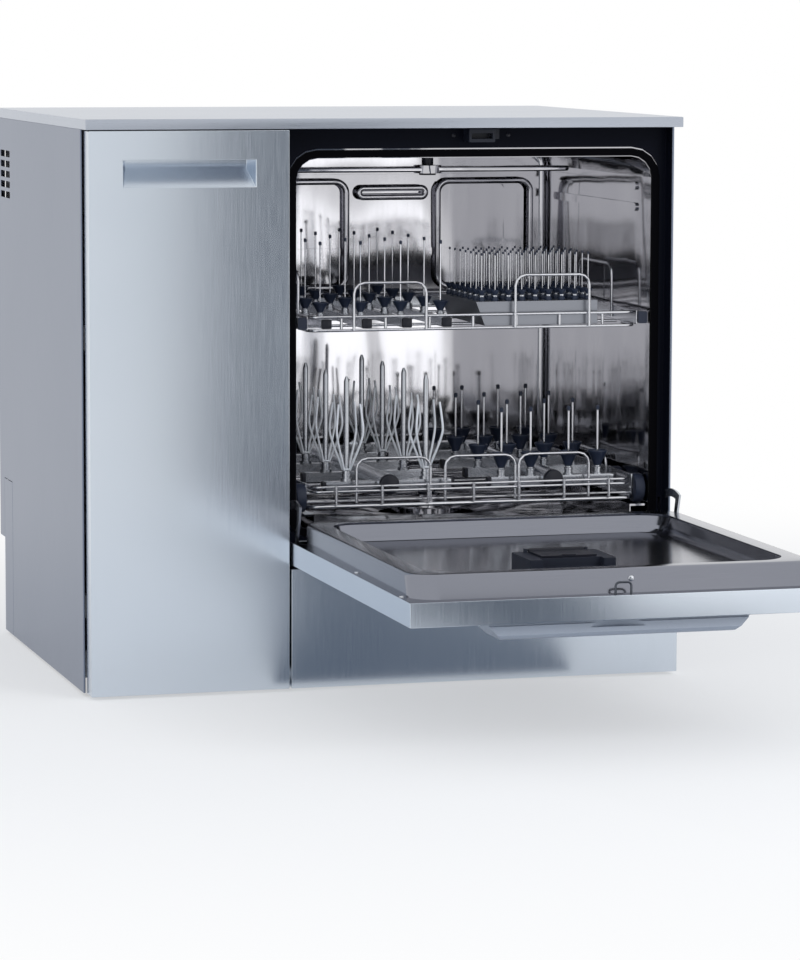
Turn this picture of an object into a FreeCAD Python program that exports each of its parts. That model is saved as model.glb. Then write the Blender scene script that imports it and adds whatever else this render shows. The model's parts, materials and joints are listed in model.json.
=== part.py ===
import FreeCAD, Part
import math
import os

V = FreeCAD.Vector
X, Y, Z = V(1, 0, 0), V(0, 1, 0), V(0, 0, 1)

# Driving dimensions of the cabinet, millimetres
width = 900.0
depth = 700.0
height = 835.0
drawer_section = 300.0
worktop_t = 15.0
sheet = 1.5
front_gap = 3.0
floor_gap = 5.0
front_t = 33.0
side_setback = 39.0
side_hem = 3.0
back_fold = 12.0
plinth_h = 180.5
recess_h = 154.0
recess_depth = 40.0
foot_h = 25.0
foot_r = 20.0
base_h = 40.0
base_rail = 30.0

# Driving dimensions of the wash chamber
tub_gap = 26.0
tub_rise = 51.5
tub_head = 45.0
tub_front = 68.0
tub_rear = 125.0
tub_t = 1.5
tub_r = 32.0
tub_low_r = 16.0
tub_back_r = 12.0
ledge_rise = 19.5
ledge_w = 28.0
flange_w = 14.0
sump_r = 75.0
sump_bottom = 122.0
seal_w = 11.0

# Driving dimensions of the door, which is drawn closed and then turned open
door_gap = 1.5
door_foot = 2.5
pivot_in = 6.0
pivot_up = 10.0
pin_r = 2.5
liner_rise = 31.5
liner_inset = 11.5
liner_low = 15.0
liner_high = 21.5
liner_lean = 14.0
liner_r = 38.0
liner_ledge = 30.0
liner_t = 1.2
fascia_h = 90.0
fascia_t = 26.0
fascia_drop = 20.0
button_r = 7.0
button_sides = 24
striker_drop = 11.0
dispenser_w = 124.0
dispenser_h = 88.0

# Driving dimensions of the hinges
arm_t = 3.0
arm_inset = 10.0
arm_play = 0.5
bracket_t = 2.5
frame_wall = 2.0

# Driving dimensions of the baskets
wire_r = 2.2
thick_r = 3.0
basket_front = 74.0
wheel_r = 22.0
wheel_w = 15.0
axle_r = 4.0
wheel_pitch = 97.0
wheel_side = 2.0
pipe_r = 15.0
bar_h = 14.0
bar_first = 24.0
upper_share = 0.53407
rail_h = 21.0
tube_w = 13.0

# Named clearances
seat = 0.3
fit = 0.05

left = -width / 2
right = width / 2
top = height - worktop_t
split = left + drawer_section
wash_x = (split + right) / 2
section = (right - split) / 2
door_low = plinth_h + door_foot
door_high = top - door_gap
pivot_z = door_low + pivot_up

# The origin lies midway between the open door's free edge and the cabinet's back
front = (door_high - pivot_z - pivot_in - depth) / 2
pivot_y = front + pivot_in
arm_side = section - arm_inset
frame_in = arm_side + arm_t + arm_play + bracket_t

# The chamber and the baskets follow the cabinet
tub_w = 2 * (section - tub_gap)
tub_floor = plinth_h + tub_rise
tub_top = top - tub_head
tub_back = depth - tub_rear
ledge_z = tub_floor + ledge_rise
upper_z = tub_floor + upper_share * (tub_top - tub_floor)
lower_len = tub_back - basket_front - 31
upper_len = tub_back - basket_front - 21
wheel_base = lower_len - 68
bar_pitch = (lower_len - 110) / 3
pipe_offset = tub_w / 4 - 9
tube_pitch = (tub_w / 2 - 28) / 4
fascia_w = section + 70


def box(x0, y0, z0, x1, y1, z1):
    return Part.makeBox(x1 - x0, y1 - y0, z1 - z0, V(x0, y0, z0))


def rod(start, end, r):
    run = end - start
    return Part.makeCylinder(r, run.Length, start, run)


def place(axis, a, b, c):
    # a and b lie across the named axis and c lies along it
    return {"x": V(c, a, b), "y": V(a, c, b), "z": V(a, b, c)}[axis]


def corner(a, b, r, start, steps):
    turn = [math.radians(start + 90 * i / steps) for i in range(steps + 1)]
    return [(a + r * math.cos(t), b + r * math.sin(t)) for t in turn]


def rounded_points(a0, b0, a1, b1, r, low_r=None, steps=4):
    # The corners of a rectangle are rounded in short flats, the lower two to their own radius
    low = r if low_r is None else low_r
    return (corner(a1 - low, b0 + low, low, 270, steps) + corner(a1 - r, b1 - r, r, 0, steps)
            + corner(a0 + r, b1 - r, r, 90, steps) + corner(a0 + low, b0 + low, low, 180, steps))


def rounded_wire(axis, a0, b0, a1, b1, r, c, low_r=None):
    steps = 4 if r > 6 else 2
    loop = [place(axis, a, b, c) for a, b in rounded_points(a0, b0, a1, b1, r, low_r, steps)]
    return Part.makePolygon(loop + loop[:1])


def rounded_bar(axis, a0, b0, a1, b1, r, c0, c1, low_r=None):
    face = Part.Face(rounded_wire(axis, a0, b0, a1, b1, r, c0, low_r))
    return face.extrude(place(axis, 0, 0, c1 - c0))


def prism(axis, points, c0, c1):
    loop = [place(axis, a, b, c0) for a, b in points]
    return Part.Face(Part.makePolygon(loop + loop[:1])).extrude(place(axis, 0, 0, c1 - c0))


def skin(rings):
    # A closed solid of flat faces through rings that each hold the same number of points
    faces = [Part.Face(Part.makePolygon(ring + ring[:1])) for ring in (rings[0], rings[-1])]
    for low, high in zip(rings, rings[1:]):
        for i in range(len(low)):
            j = (i + 1) % len(low)
            faces.append(Part.Face(Part.makePolygon([low[i], low[j], high[j], high[i], low[i]])))
    shell = Part.makeShell(faces)
    shell.sewShape()
    solid = Part.makeSolid(shell)
    if solid.Volume < 0:
        solid.reverse()
    return solid


def spun(profile, base, axis, sides):
    # A faceted piece turned about a line; the profile lists radius and height along it
    side = axis.cross(X if abs(axis.x) < 0.9 else Y).normalize()
    up = axis.cross(side)
    turn = [2 * math.pi * (i + 0.5) / sides for i in range(sides)]
    return skin([[base + axis * h + side * (r * math.cos(t)) + up * (r * math.sin(t)) for t in turn]
                 for r, h in profile])


def turned(profile, x, y, sides):
    return spun(profile, V(x, y, 0), Z, sides)


def faceted(start, end, r, sides):
    run = end - start
    return spun([(r, 0), (r, run.Length)], start, run.normalize(), sides)


def copies(shape, places):
    # The shape is drawn at x = 0, y = 0 and set down at each place
    out = []
    for x, y in places:
        piece = shape.copy()
        piece.translate(V(x, y, 0))
        out.append(piece)
    return out


wire_sides = 8
bend_steps = 3


def bent(points, r, bend):
    # A wire along straight runs joined by bends, with flat sides all along
    path = [(points[0], (points[1] - points[0]).normalize())]
    for before, corner_at, after in zip(points, points[1:], points[2:]):
        a = (before - corner_at).normalize()
        b = (after - corner_at).normalize()
        half = a.getAngle(b) / 2
        centre = corner_at + (a + b).normalize() * (bend / math.sin(half))
        start = corner_at + a * (bend / math.tan(half)) - centre
        turn = FreeCAD.Rotation(a.cross(start), 180 - math.degrees(2 * half))
        for i in range(bend_steps + 1):
            step = FreeCAD.Rotation(turn.Axis, math.degrees(turn.Angle) * i / bend_steps)
            path.append((centre + step.multVec(start), step.multVec(a * -1)))
    path.append((points[-1], (points[-1] - points[-2]).normalize()))
    side = path[0][1].cross(X if abs(path[0][1].x) < 0.9 else Y).normalize()
    rings = []
    for p, along in path:
        side = (side - along * side.dot(along)).normalize()
        up = along.cross(side)
        turn = [2 * math.pi * (i + 0.5) / wire_sides for i in range(wire_sides)]
        rings.append([p + side * (r * math.cos(t)) + up * (r * math.sin(t)) for t in turn])
    return skin(rings)


def wire(start, end, r):
    return faceted(start, end, r, wire_sides)


def hoop(start, end, rise, r, bend):
    up = V(0, 0, rise)
    return bent([start, start + up, end + up, end], r, bend)


def mirror_x(shape, x):
    return shape.mirror(V(x, 0, 0), X)


def both(shape, x):
    return [shape, mirror_x(shape, x)]


def opened(shape):
    copy = shape.copy()
    copy.rotate(V(0, pivot_y, pivot_z), X, 90)
    return copy


def put(name, shapes):
    solids = []
    for shape in shapes if isinstance(shapes, list) else [shapes]:
        solids += shape.Solids
    whole = solids[0] if len(solids) == 1 else Part.makeCompound(solids)
    whole.exportStep("parts/" + name + ".step")
    volume = sum(s.Volume for s in solids)
    print(name, len(solids), "solids", round(volume / 1000, 1), "cm3", "valid", whole.isValid())


# Cabinet

def base_front():
    return front + side_setback + 15


def base_frame():
    # A drip pan with upstand walls and a hollow rib under the partition, open at both ends
    y0, y1 = base_front(), front + depth - recess_depth - sheet
    x0, x1 = left + sheet, right - sheet
    z0, z1 = foot_h, foot_h + base_h
    pan = box(x0, y0, z0, x1, y1, z1).cut(box(x0 + 2, y0 + 2, z0 + 2, x1 - 2, y1 - 2, z1 + 1))
    rib = box(split - base_rail / 2, y0, z0 + 1, split + base_rail / 2, y1, z1)
    bore = box(split - base_rail / 2 + 2, y0 - 1, z0 + 3, split + base_rail / 2 - 2, y1 + 1, z1 - 2)
    return pan.fuse(rib).cut(bore)


def levelling_feet():
    y0, y1 = front + side_setback + 45, front + depth - recess_depth - 45
    profile = [(0, 0), (foot_r, 0), (foot_r, 4), (foot_r * 0.6, 8), (6, 10), (6, foot_h - 5),
               (10, foot_h - 5), (10, foot_h), (0, foot_h)]
    xs = [left + 45, split, right - 45]
    return [turned(profile[1:-1], x, y, 12) for x in xs for y in (y0, y1)]


def side_panel():
    # The left side; the right one is its mirror image without the vent slots
    y0, y1 = front + side_setback, front + depth
    skin = box(left, y0, floor_gap, left + sheet, y1, top)
    hem = box(left, y0, floor_gap, left + side_hem, y0 + sheet, top)
    back = box(left, y1 - sheet, recess_h + 3, left + back_fold, y1, top)
    panel = skin.fuse([hem, back])
    step = box(left - 1, front + depth - recess_depth, floor_gap - 1, left + back_fold + 1, y1 + 1, recess_h)
    return panel.cut(step)


slot_len, slot_h, slot_pitch, slot_top = 78.0, 10.0, 16.0, top - 50
slot_front = depth - 106
slot_rows = 5


def vented(panel):
    for i in range(slot_rows):
        z1 = slot_top - i * slot_pitch
        y0 = front + slot_front
        panel = panel.cut(rounded_bar("x", y0, z1 - slot_h, y0 + slot_len, z1, 2, left - 1, left + sheet + 1))
    return panel


cover_front, cover_high = depth - 108, 250.0


def access_cover_cut():
    y0 = front + cover_front
    return box(left - 1, y0, floor_gap - 1, left + sheet + 0.2, front + depth - recess_depth, cover_high)


def connection_panel():
    # Folded cover over the lower rear, with a wing on the left side
    y1 = front + depth - recess_depth
    x0, x1 = left + back_fold + 1, right - back_fold - 1
    plate = box(x0, y1 - sheet, foot_h, x1, y1, recess_h)
    shelf = box(x0, y1 - sheet, recess_h, x1, front + depth - sheet - 1, recess_h + sheet)
    wing = box(left, front + cover_front + 1, floor_gap, left + sheet, y1, cover_high - 1)
    tie = box(left, y1 - sheet, floor_gap, x0, y1, recess_h + sheet)
    panel = plate.fuse([shelf, wing, tie])
    for x, z, r in ports():
        panel = panel.cut(faceted(V(x, y1 - 10, z), V(x, y1 + 10, z), r * fitting_neck + 0.4, 16))
    return panel


inlet_r, drain_r, gland_r = 13.2, 11.0, 14.0


def ports():
    z = 95.0
    inlets = [(right - 160 + 45 * i, z, inlet_r) for i in range(3)]
    return inlets + [(right - 240, z, drain_r), (right - 340, z, gland_r)]


fitting_neck = 0.8
fitting_reach, drain_reach = 16.0, 26.0


def water_fittings():
    # Three threaded inlets, the drain spigot and the cable gland seated on the panel, each with its nut inside
    y1 = front + depth - recess_depth
    out = []
    for x, z, r in ports():
        reach = drain_reach if r == drain_r else fitting_reach
        neck_r = r * fitting_neck
        body = rod(V(x, y1, z), V(x, y1 + reach, z), r)
        neck = faceted(V(x, y1 - 26, z), V(x, y1, z), neck_r, 16)
        bore = faceted(V(x, y1 - 40, z), V(x, y1 + 40, z), neck_r - 3, 16)
        nut = hexagon(x, z, r * 1.35, y1 - sheet - 8, y1 - sheet)
        out.append(body.fuse([neck, nut]).cut(bore))
    return out


def hexagon(x, z, r, y0, y1):
    turn = [math.pi / 3 * i for i in range(6)]
    return prism("y", [(x + r * math.cos(t), z + r * math.sin(t)) for t in turn], y0, y1)


def rear_panel():
    y0 = front + depth - sheet
    panel = box(left + back_fold + 1, y0, recess_h + sheet, right - back_fold - 1, front + depth, top)
    for i in range(7):
        z = top - 90 - i * 18
        panel = panel.cut(rounded_bar("y", wash_x - 60, z, wash_x + 60, z + 8, 3, y0 - 1, y0 + 3))
    return panel


lid_t = 2.0
lid_bar = 20.0
lid_rib_x = 150.0


def worktop():
    # A folded steel lid with a skirt all round and stiffening bars where the walls below meet it
    lid = box(left, front, top, right, front + depth, height)
    lid = lid.makeChamfer(lid_t / 2, [e for e in lid.Edges if abs(e.CenterOfMass.z - height) < 0.01])
    hollow = box(left + lid_t, front + lid_t, top - 1, right - lid_t, front + depth - lid_t, height - lid_t)
    y0, y1 = front + side_setback, front + tub_front
    hollow = hollow.cut(box(left, y0, top - 2, right, y1, height))
    for x in (split, wash_x - lid_rib_x, wash_x + lid_rib_x):
        hollow = hollow.cut(box(x - lid_bar / 2, front, top - 2, x + lid_bar / 2, front + depth, height))
    return lid.cut(hollow)


def partition():
    y0, y1 = front + side_setback + 8, front + depth - recess_depth - 5
    z0 = foot_h + base_h
    wall = box(split - sheet / 2, y0, z0, split + sheet / 2, y1, top)
    foot = box(split - base_rail / 2, y0, z0, split + sheet / 2, y1, z0 + sheet)
    return wall.fuse(foot)


# Wash section

def tub_ring(grow, shrink, y):
    half = tub_w / 2 + grow - shrink
    points = rounded_points(wash_x - half, tub_floor - grow + shrink, wash_x + half, tub_top + grow - shrink,
                            tub_r + grow - shrink, tub_low_r + grow - shrink)
    return [V(a, front + y, b) for a, b in points]


def tub_room(grow, y0):
    # The chamber's room, open in front and rounded towards its back wall
    back_r = tub_back_r + grow
    turn = [math.radians(30 * i) for i in range(4)]
    rings = [tub_ring(grow, back_r * (1 - math.cos(t)), tub_back - tub_back_r + back_r * math.sin(t))
             for t in turn]
    return skin([tub_ring(grow, 0, y0)] + rings)


def seamed(ring, reach, low, high):
    # A ring round the tub's mouth comes apart where its straight sides meet its corners
    x0, x1 = wash_x - reach, wash_x + reach
    low, high = tub_floor + low, tub_top - high
    bands = [(0, low), (low, high), (high, height)]
    cuts = [ring.common(box(x0, front, z0, x1, front + depth, z1)) for z0, z1 in bands]
    return [piece for cut in cuts for piece in cut.Solids]


def sump_hole(z0, z1):
    return turned([(2 * sump_r, z0), (2 * sump_r, z1)], wash_x, sump_y, sump_sides)


def wash_chamber():
    # Welded from two side sheets, a roof, a floor with wheel ledges, a back, a front flange and a sump tank
    shell = tub_room(tub_t, tub_front).cut(tub_room(0, tub_front - 1))
    for x, z, r in dock_places():
        shell = shell.cut(faceted(V(x, front + tub_back - 5, z), V(x, front + tub_back + 9, z), r + fit, dock_sides))
    shell = shell.cut(sump_hole(tub_floor - 5, tub_floor + 5))
    y0, y1 = front + tub_front - 1, front + tub_back - tub_back_r
    x0, x1 = wash_x - tub_w / 2 - 5, wash_x + tub_w / 2 + 5
    low, high = tub_floor + tub_low_r, tub_top - tub_r
    floor = shell.common(box(x0, y0, 0, x1, y1, low))
    sides = shell.common(box(x0, y0, low, x1, y1, high))
    roof = shell.common(box(x0, y0, high, x1, y1, height))
    back = shell.common(box(x0, y1, 0, x1, front + depth, height))
    half = tub_w / 2 + tub_t
    outer = rounded_bar("y", wash_x - tub_w / 2 - flange_w, tub_floor - flange_w, wash_x + tub_w / 2 + flange_w,
                        tub_top + flange_w, tub_r + flange_w, front + tub_front, front + tub_front + tub_t)
    flange = outer.cut(rounded_bar("y", wash_x - half, tub_floor - tub_t, wash_x + half, tub_top + tub_t,
                                   tub_r + tub_t, front, front + depth, tub_low_r + tub_t))
    frame, *beads = wall_beads()
    walls = [wall.fuse([b for b in beads if b.distToShape(wall)[0] < 0.1]) for wall in sides.Solids]
    parts = walls + [roof, floor, back.fuse(frame)] + seamed(flange, section, tub_low_r, tub_r)
    return [part.removeSplitter() for part in parts] + [sump_tank()] + wheel_ledges()


def wheel_ledges():
    y0, y1 = front + tub_front + 2, front + tub_back - tub_back_r - 1
    x0 = wash_x - tub_w / 2 + tub_low_r / 4
    ledge = box(x0, y0, tub_floor + tub_low_r + 0.5, wash_x - tub_w / 2 + ledge_w, y1, ledge_z)
    web = box(wash_x - tub_w / 2 + ledge_w - tub_t, y0, tub_floor, wash_x - tub_w / 2 + ledge_w, y1, ledge_z)
    return both(ledge.fuse(web), wash_x)


def sump_tank():
    # A conical collar under the floor's hole and a deep pot below it
    z = tub_floor - tub_t
    outer = turned([(sump_r + tub_t, sump_bottom - tub_t), (sump_r + tub_t, tub_floor - 17), (2 * sump_r + 4, z)],
                   wash_x, sump_y, sump_sides)
    inner = turned([(sump_r, sump_bottom), (sump_r, tub_floor - 15.5), (2 * sump_r, z)],
                   wash_x, sump_y, sump_sides)
    return outer.cut(inner)


def wall_beads():
    # Stiffening beads: a frame on the back wall and two long ones on each side
    bead, y = 3.0, front + tub_back
    half = tub_w / 2 - 59
    z0, z1 = tub_top - 175, tub_top - 45
    frame = rounded_bar("y", wash_x - half, z0, wash_x + half, z1, 24, y - bead, y)
    frame = frame.cut(rounded_bar("y", wash_x - half + 12, z0 + 12, wash_x + half - 12, z1 - 12, 14,
                                  y - bead - 1, y + 1))
    side = rounded_bar("x", front + tub_front + 60, tub_top - 85, front + tub_back - 50, tub_top - 73, 5.5,
                       wash_x - tub_w / 2, wash_x - tub_w / 2 + bead)
    lower = side.copy()
    lower.translate(V(0, 0, 32))
    return [frame] + both(side, wash_x) + both(lower, wash_x)


dock_r = 40.0
lower_dock_x = -55.0
dock_sides = 24
tube_z = upper_z + wire_r + 0.1 + tube_w / 2
upper_dock_x = -60.0
upper_dock_r = 24.0


def dock_places():
    return [(wash_x + lower_dock_x, pipe_z - 1, dock_r - 9), (wash_x + upper_dock_x, tube_z, upper_dock_r - 7)]


def docking_ports():
    out = []
    y = front + tub_back
    for (x, z, r), ring in zip(dock_places(), (dock_r, upper_dock_r)):
        collar = faceted(V(x, y - 12, z), V(x, y - seat, z), ring, dock_sides)
        neck = faceted(V(x, y - 12, z), V(x, y + 36, z), r, dock_sides)
        out.append(collar.fuse(neck).cut(faceted(V(x, y - 20, z), V(x, y + 40, z), r - 4, dock_sides)))
    return out


def door_seal():
    # Two straight strips joined to a head and a sill length with moulded corners
    y0, y1 = front + front_t + liner_rise + seat, front + tub_front
    half = tub_w / 2 + 1
    outer = rounded_bar("y", wash_x - half - seal_w, tub_floor - 1 - seal_w, wash_x + half + seal_w,
                        tub_top + 1 + seal_w, tub_r + seal_w, y0, y1, tub_low_r + seal_w)
    ring = outer.cut(rounded_bar("y", wash_x - half, tub_floor - 1, wash_x + half, tub_top + 1,
                                 tub_r, y0 - 1, y1 + 1, tub_low_r))
    return seamed(ring, section, tub_low_r, tub_r)


def front_frame():
    # Black surround between the casing and the tub flange, with slots for the hinge arms
    y0, y1 = front + side_setback + sheet + 0.5, front + tub_front
    x0, x1 = wash_x - frame_in - frame_wall, wash_x + frame_in + frame_wall
    z0 = plinth_h + 6
    plate = box(x0, y1 - 2, z0, x1, y1, top)
    half = tub_w / 2 + 1 + seal_w + 0.5
    hole = rounded_bar("y", wash_x - half, tub_floor - 14, wash_x + half, tub_top + 14, tub_r + seal_w,
                       y1 - 5, y1 + 5, tub_low_r + seal_w)
    plate = plate.cut(hole)
    jamb = box(x0, y0, z0, x0 + frame_wall, y1, top)
    head = box(x0, y0, top - 2, x1, y1, top)
    frame = plate.fuse([jamb, mirror_x(jamb, wash_x), head])
    for x in arm_places():
        frame = frame.cut(box(x - arm_play, y1 - 9, z0 - 1, x + arm_t + arm_play, y1 + 1, pivot_z + slot_rise))
    return frame


def service_panel():
    y0 = front
    x0, x1 = split + front_gap / 2, right - front_gap / 2
    pan = box(x0, y0, floor_gap, x1, y0 + front_t, plinth_h)
    pan = pan.cut(box(x0 + sheet, y0 + sheet, floor_gap + sheet, x1 - sheet, y0 + front_t + 1, plinth_h - sheet))
    hooks = [box(x, y0 + sheet, foot_h + 6, x + 24, base_front(), foot_h + base_h - 6)
             for x in (x0 + 60, x1 - 84)]
    return pan.fuse(hooks)


def latch_housing():
    z0, z1 = door_high - liner_high + 1, top - 2
    y0, y1 = front + front_t + 4, front + tub_front - 2
    shell = rounded_bar("y", wash_x - 20, z0, wash_x + 20, z1, 2, y0, y1)
    slot = box(wash_x - 16, y0 - 1, door_high - striker_drop - 4, wash_x + 16, y0 + 16,
               door_high - striker_drop + 4)
    ear = box(wash_x + 18, y1 - 4, z0 + 4, wash_x + 34, y1, z1)
    return shell.fuse(ear).cut(slot)


# Hinges

bracket_r = 4.2
arm_r = 88.0
arm_foot = 40.0
slot_rise = 68.0


def arm_places():
    # The lower x of each arm, left then right
    return [wash_x - arm_side - arm_t, wash_x + arm_side]


def hinge_brackets():
    # A cheek on each jamb reaches forward to the pivot, and its eye holds the arm's pin
    out = []
    y1, z = front + tub_front - 2, pivot_z
    for x in arm_places():
        x0 = x - arm_play - bracket_t if x < wash_x else x + arm_t + arm_play
        cheek = box(x0, pivot_y, z - bracket_r, x0 + bracket_t, y1, z + bracket_r)
        eye = faceted(V(x0, pivot_y, z), V(x0 + bracket_t, pivot_y, z), bracket_r, 12)
        root = box(x0, y1 - 22, z - bracket_r, x0 + bracket_t, y1, z + 40)
        bore = rod(V(x0 - 1, pivot_y, z), V(x0 + bracket_t + 1, pivot_y, z), pin_r + fit)
        out.append(cheek.fuse([eye, root]).cut(bore))
    return out


def hinge_arms():
    # Drawn with the door open: a foot on the door's skin, a stay up into the frame's slot, and the pin
    out = []
    y, z = pivot_y, pivot_z
    skin_z = z - pivot_in + sheet
    reach = arm_play + bracket_t - seat
    for x in arm_places():
        eye = faceted(V(x, y, z), V(x + arm_t, y, z), pivot_in - sheet - 0.1, 12)
        foot = box(x, y - arm_foot, skin_z, x + arm_t, y, z)
        p0, p1 = (x - reach, x) if x < wash_x else (x + arm_t, x + arm_t + reach)
        pin = rod(V(p0, y, z), V(p1, y, z), pin_r)
        bow = arc_band(y, z, arm_r - 12, arm_r, math.radians(68), math.radians(112), x, x + arm_t)
        web = prism("x", [(y - 5, z), (y + 4, z), (y - 17, z + arm_r - 10), (y - 30, z + arm_r - 14)], x, x + arm_t)
        out.append(eye.fuse([foot, bow, web, pin]))
    return out


def arc_band(y, z, r0, r1, a0, a1, x0, x1):
    # A flat curved strip about the x-line at y, z, between two radii and two angles
    turn = [a0 + (a1 - a0) * i / 6 for i in range(7)]
    rim = [(y + r1 * math.cos(a), z + r1 * math.sin(a)) for a in turn]
    inside = [(y + r0 * math.cos(a), z + r0 * math.sin(a)) for a in reversed(turn)]
    return prism("x", rim + inside, x0, x1)


# Door, drawn closed and turned open about the pivot line

def door_panel():
    # A folded pan open to the back, notched at its lower corners for the hinge arms
    x0, x1 = split + front_gap / 2, right - front_gap / 2
    pan = box(x0, front, door_low, x1, front + front_t, door_high)
    pan = pan.cut(box(x0 + sheet, front + sheet, door_low + sheet, x1 - sheet, front + front_t + 1,
                      door_high - sheet))
    for x in arm_places():
        a, b = (x0 + sheet, x + arm_t + 4) if x < wash_x else (x - 4, x1 - sheet)
        pan = pan.cut(box(a, front + sheet, door_low - 1, b, front + front_t + 1, door_low + sheet + 0.5))
    return opened(pan)


def liner_section(shrink, y, z1):
    half = (right - front_gap / 2 - wash_x) - liner_inset - shrink
    return rounded_wire("y", wash_x - half, pivot_z + liner_low + shrink, wash_x + half, z1 - shrink,
                        liner_r - shrink, front + y)


def door_liner():
    base_z = door_high - liner_high
    rim_z = base_z - liner_lean
    rim_y = front_t + liner_rise
    raised = Part.makeLoft([liner_section(0, front_t - liner_t, base_z), liner_section(0, rim_y, rim_z)],
                           True, True)
    inside = Part.makeLoft([liner_section(liner_t, front_t - 2 * liner_t, base_z),
                            liner_section(liner_t, rim_y - liner_t, rim_z)], True, True)
    pocket_floor = front + front_t + 5
    half = (right - front_gap / 2 - wash_x) - liner_inset - liner_ledge
    z0, z1 = pivot_z + liner_low + liner_ledge, rim_z - 22
    pocket = rounded_bar("y", wash_x - half, z0, wash_x + half, z1, 45, pocket_floor, front + rim_y + 1)
    well = rounded_bar("y", wash_x - half - liner_t, z0 - liner_t, wash_x + half + liner_t, z1 + liner_t,
                       45 + liner_t, pocket_floor - liner_t, front + rim_y - liner_t / 2)
    x0, x1 = split + front_gap / 2 + sheet + 0.2, right - front_gap / 2 - sheet - 0.2
    y1 = front + front_t
    plate = box(x0, y1 - liner_t, pivot_z + liner_low, x1, y1, door_high - sheet - 0.2)
    shape = raised.cut(inside).fuse(well).cut(pocket).fuse(plate.cut(inside))
    for x in arm_places():
        a, b = (x0 - 1, x + arm_t + 3) if x < wash_x else (x - 3, x1 + 1)
        shape = shape.cut(box(a, y1 - 3, pivot_z, b, y1 + 3, pivot_z + 26))
    return opened(shape.removeSplitter())


def fascia_box():
    z1 = door_high - fascia_drop
    return wash_x - fascia_w / 2, z1 - fascia_h, wash_x + fascia_w / 2, z1


def fascia_controls():
    # The centre of the display and of each button, on the front of the control strip
    x0, z0, x1, z1 = fascia_box()
    z = z0 + 38
    return (wash_x, z), (x0 + 70, z), (x1 - 70, z)


def control_fascia():
    # A moulded console with a set-back neck, sloping ends and a finger hollow in its top edge
    x0, z0, x1, z1 = fascia_box()
    y = front
    side = [(y, z0 + 4), (y, z1 - 4), (y - 6, z1 - 4), (y - 6, z1 - 1), (y - fascia_t + 8, z1),
            (y - fascia_t + 2, z1 - 7), (y - fascia_t, z1 - 16), (y - fascia_t, z0 + 14),
            (y - fascia_t + 9, z0), (y - 6, z0 + 1), (y - 6, z0 + 4)]
    body = prism("x", side, x0, x1)
    for end, turn in ((x0, 1), (x1, -1)):
        wedge = prism("z", [(end - turn, y - 4), (end, y - 4), (end + 22 * turn, y - fascia_t - 1),
                            (end - turn, y - fascia_t - 1)], z0 - 1, z1 + 1)
        body = body.cut(wedge)
    hollow = Part.makeCylinder(110, 12, V(wash_x - 4, y - fascia_t + 2, z1 + 101), V(0, 1, 0.12))
    body = body.cut(hollow)
    (dx, dz), *buttons = fascia_controls()
    body = body.cut(rounded_bar("y", dx - 46.1, dz - 15.1, dx + 46.1, dz + 15.1, 3, y - fascia_t - 1,
                                y - fascia_t + 2))
    for bx, bz in buttons:
        body = body.cut(faceted(V(bx, y - fascia_t - 1, bz), V(bx, y - fascia_t + 8, bz), button_r + fit * 2,
                                button_sides))
    return opened(body)


def display_window():
    (dx, dz), *buttons = fascia_controls()
    y = front - fascia_t
    return opened(rounded_bar("y", dx - 46, dz - 15, dx + 46, dz + 15, 3, y + 0.2, y + 2))


def button(index):
    # A round key with a dished face that stands proud and sinks by its travel
    bx, bz = fascia_controls()[index]
    profile = [(button_r, 0), (button_r, 7.4), (button_r - 0.6, 8), (button_r - 1.5, 8), (2, 7.4)]
    return opened(spun(profile, V(bx, front - fascia_t + 6.5, bz), Y * -1, button_sides))


def door_striker():
    # A round wire loop on two feet
    z = door_high - striker_drop
    y0, y1 = front + front_t, front + front_t + 16
    loop = bent([V(wash_x - 11, y0, z), V(wash_x - 11, y1, z), V(wash_x + 11, y1, z),
                 V(wash_x + 11, y0, z)], 1.6, 5)
    return opened(loop)


def dispenser_frame():
    z1 = pivot_z + 460
    return wash_x - 18 - dispenser_w / 2, z1 - dispenser_h, wash_x - 18 + dispenser_w / 2, z1


lid_pin_r = 1.3


def lid_pin():
    # The lid's pin line, just above the face of the housing
    x0, z0, x1, z1 = dispenser_frame()
    return front + front_t + 5 + 25, z0 + 8


def dispenser_housing():
    x0, z0, x1, z1 = dispenser_frame()
    y0 = front + front_t + 5
    body = rounded_bar("y", x0, z0, x1, z1, 3, y0, y0 + 22)
    cup = rounded_bar("y", x0 + 24, z0 + 12, x1 - 24, z1 - 26, 6, y0 + 4, y0 + 23)
    slot = box(x0 + 18, y0 + 10, z1 - 14, x1 - 18, y0 + 23, z1 + 1)
    py, pz = lid_pin()
    relief = faceted(V(x0 + 20.3, py, pz), V(x1 - 20.3, py, pz), lid_pin_r * 2 + 1.2, 12)
    body = body.cut(cup).cut(slot).cut(relief)
    ears = [box(x, y0 + 21, pz - 3, x + 4, py + 2, pz + 3) for x in (x0 + 16, x1 - 20)]
    pin = rod(V(x0 + 16, py, pz), V(x1 - 16, py, pz), lid_pin_r)
    return opened(body.fuse(ears + [pin]))


def dispenser_lid():
    # A flap with a knuckle on the housing's pin
    x0, z0, x1, z1 = dispenser_frame()
    py, pz = lid_pin()
    y0 = front + front_t + 5 + 22 + seat
    flap = box(x0 + 22, y0, pz + 1, x1 - 22, y0 + 2.5, z1 - 20)
    knuckle = faceted(V(x0 + 22, py, pz), V(x1 - 22, py, pz), lid_pin_r * 2, 12)
    bore = rod(V(x0, py, pz), V(x1, py, pz), lid_pin_r + fit)
    tab = box((x0 + x1) / 2 - 10, y0 + 2.5, z1 - 24, (x0 + x1) / 2 + 10, y0 + 3.7, z1 - 20)
    return opened(flap.fuse([knuckle, tab]).cut(bore))


# Upper basket, drawn at home in the chamber

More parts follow.
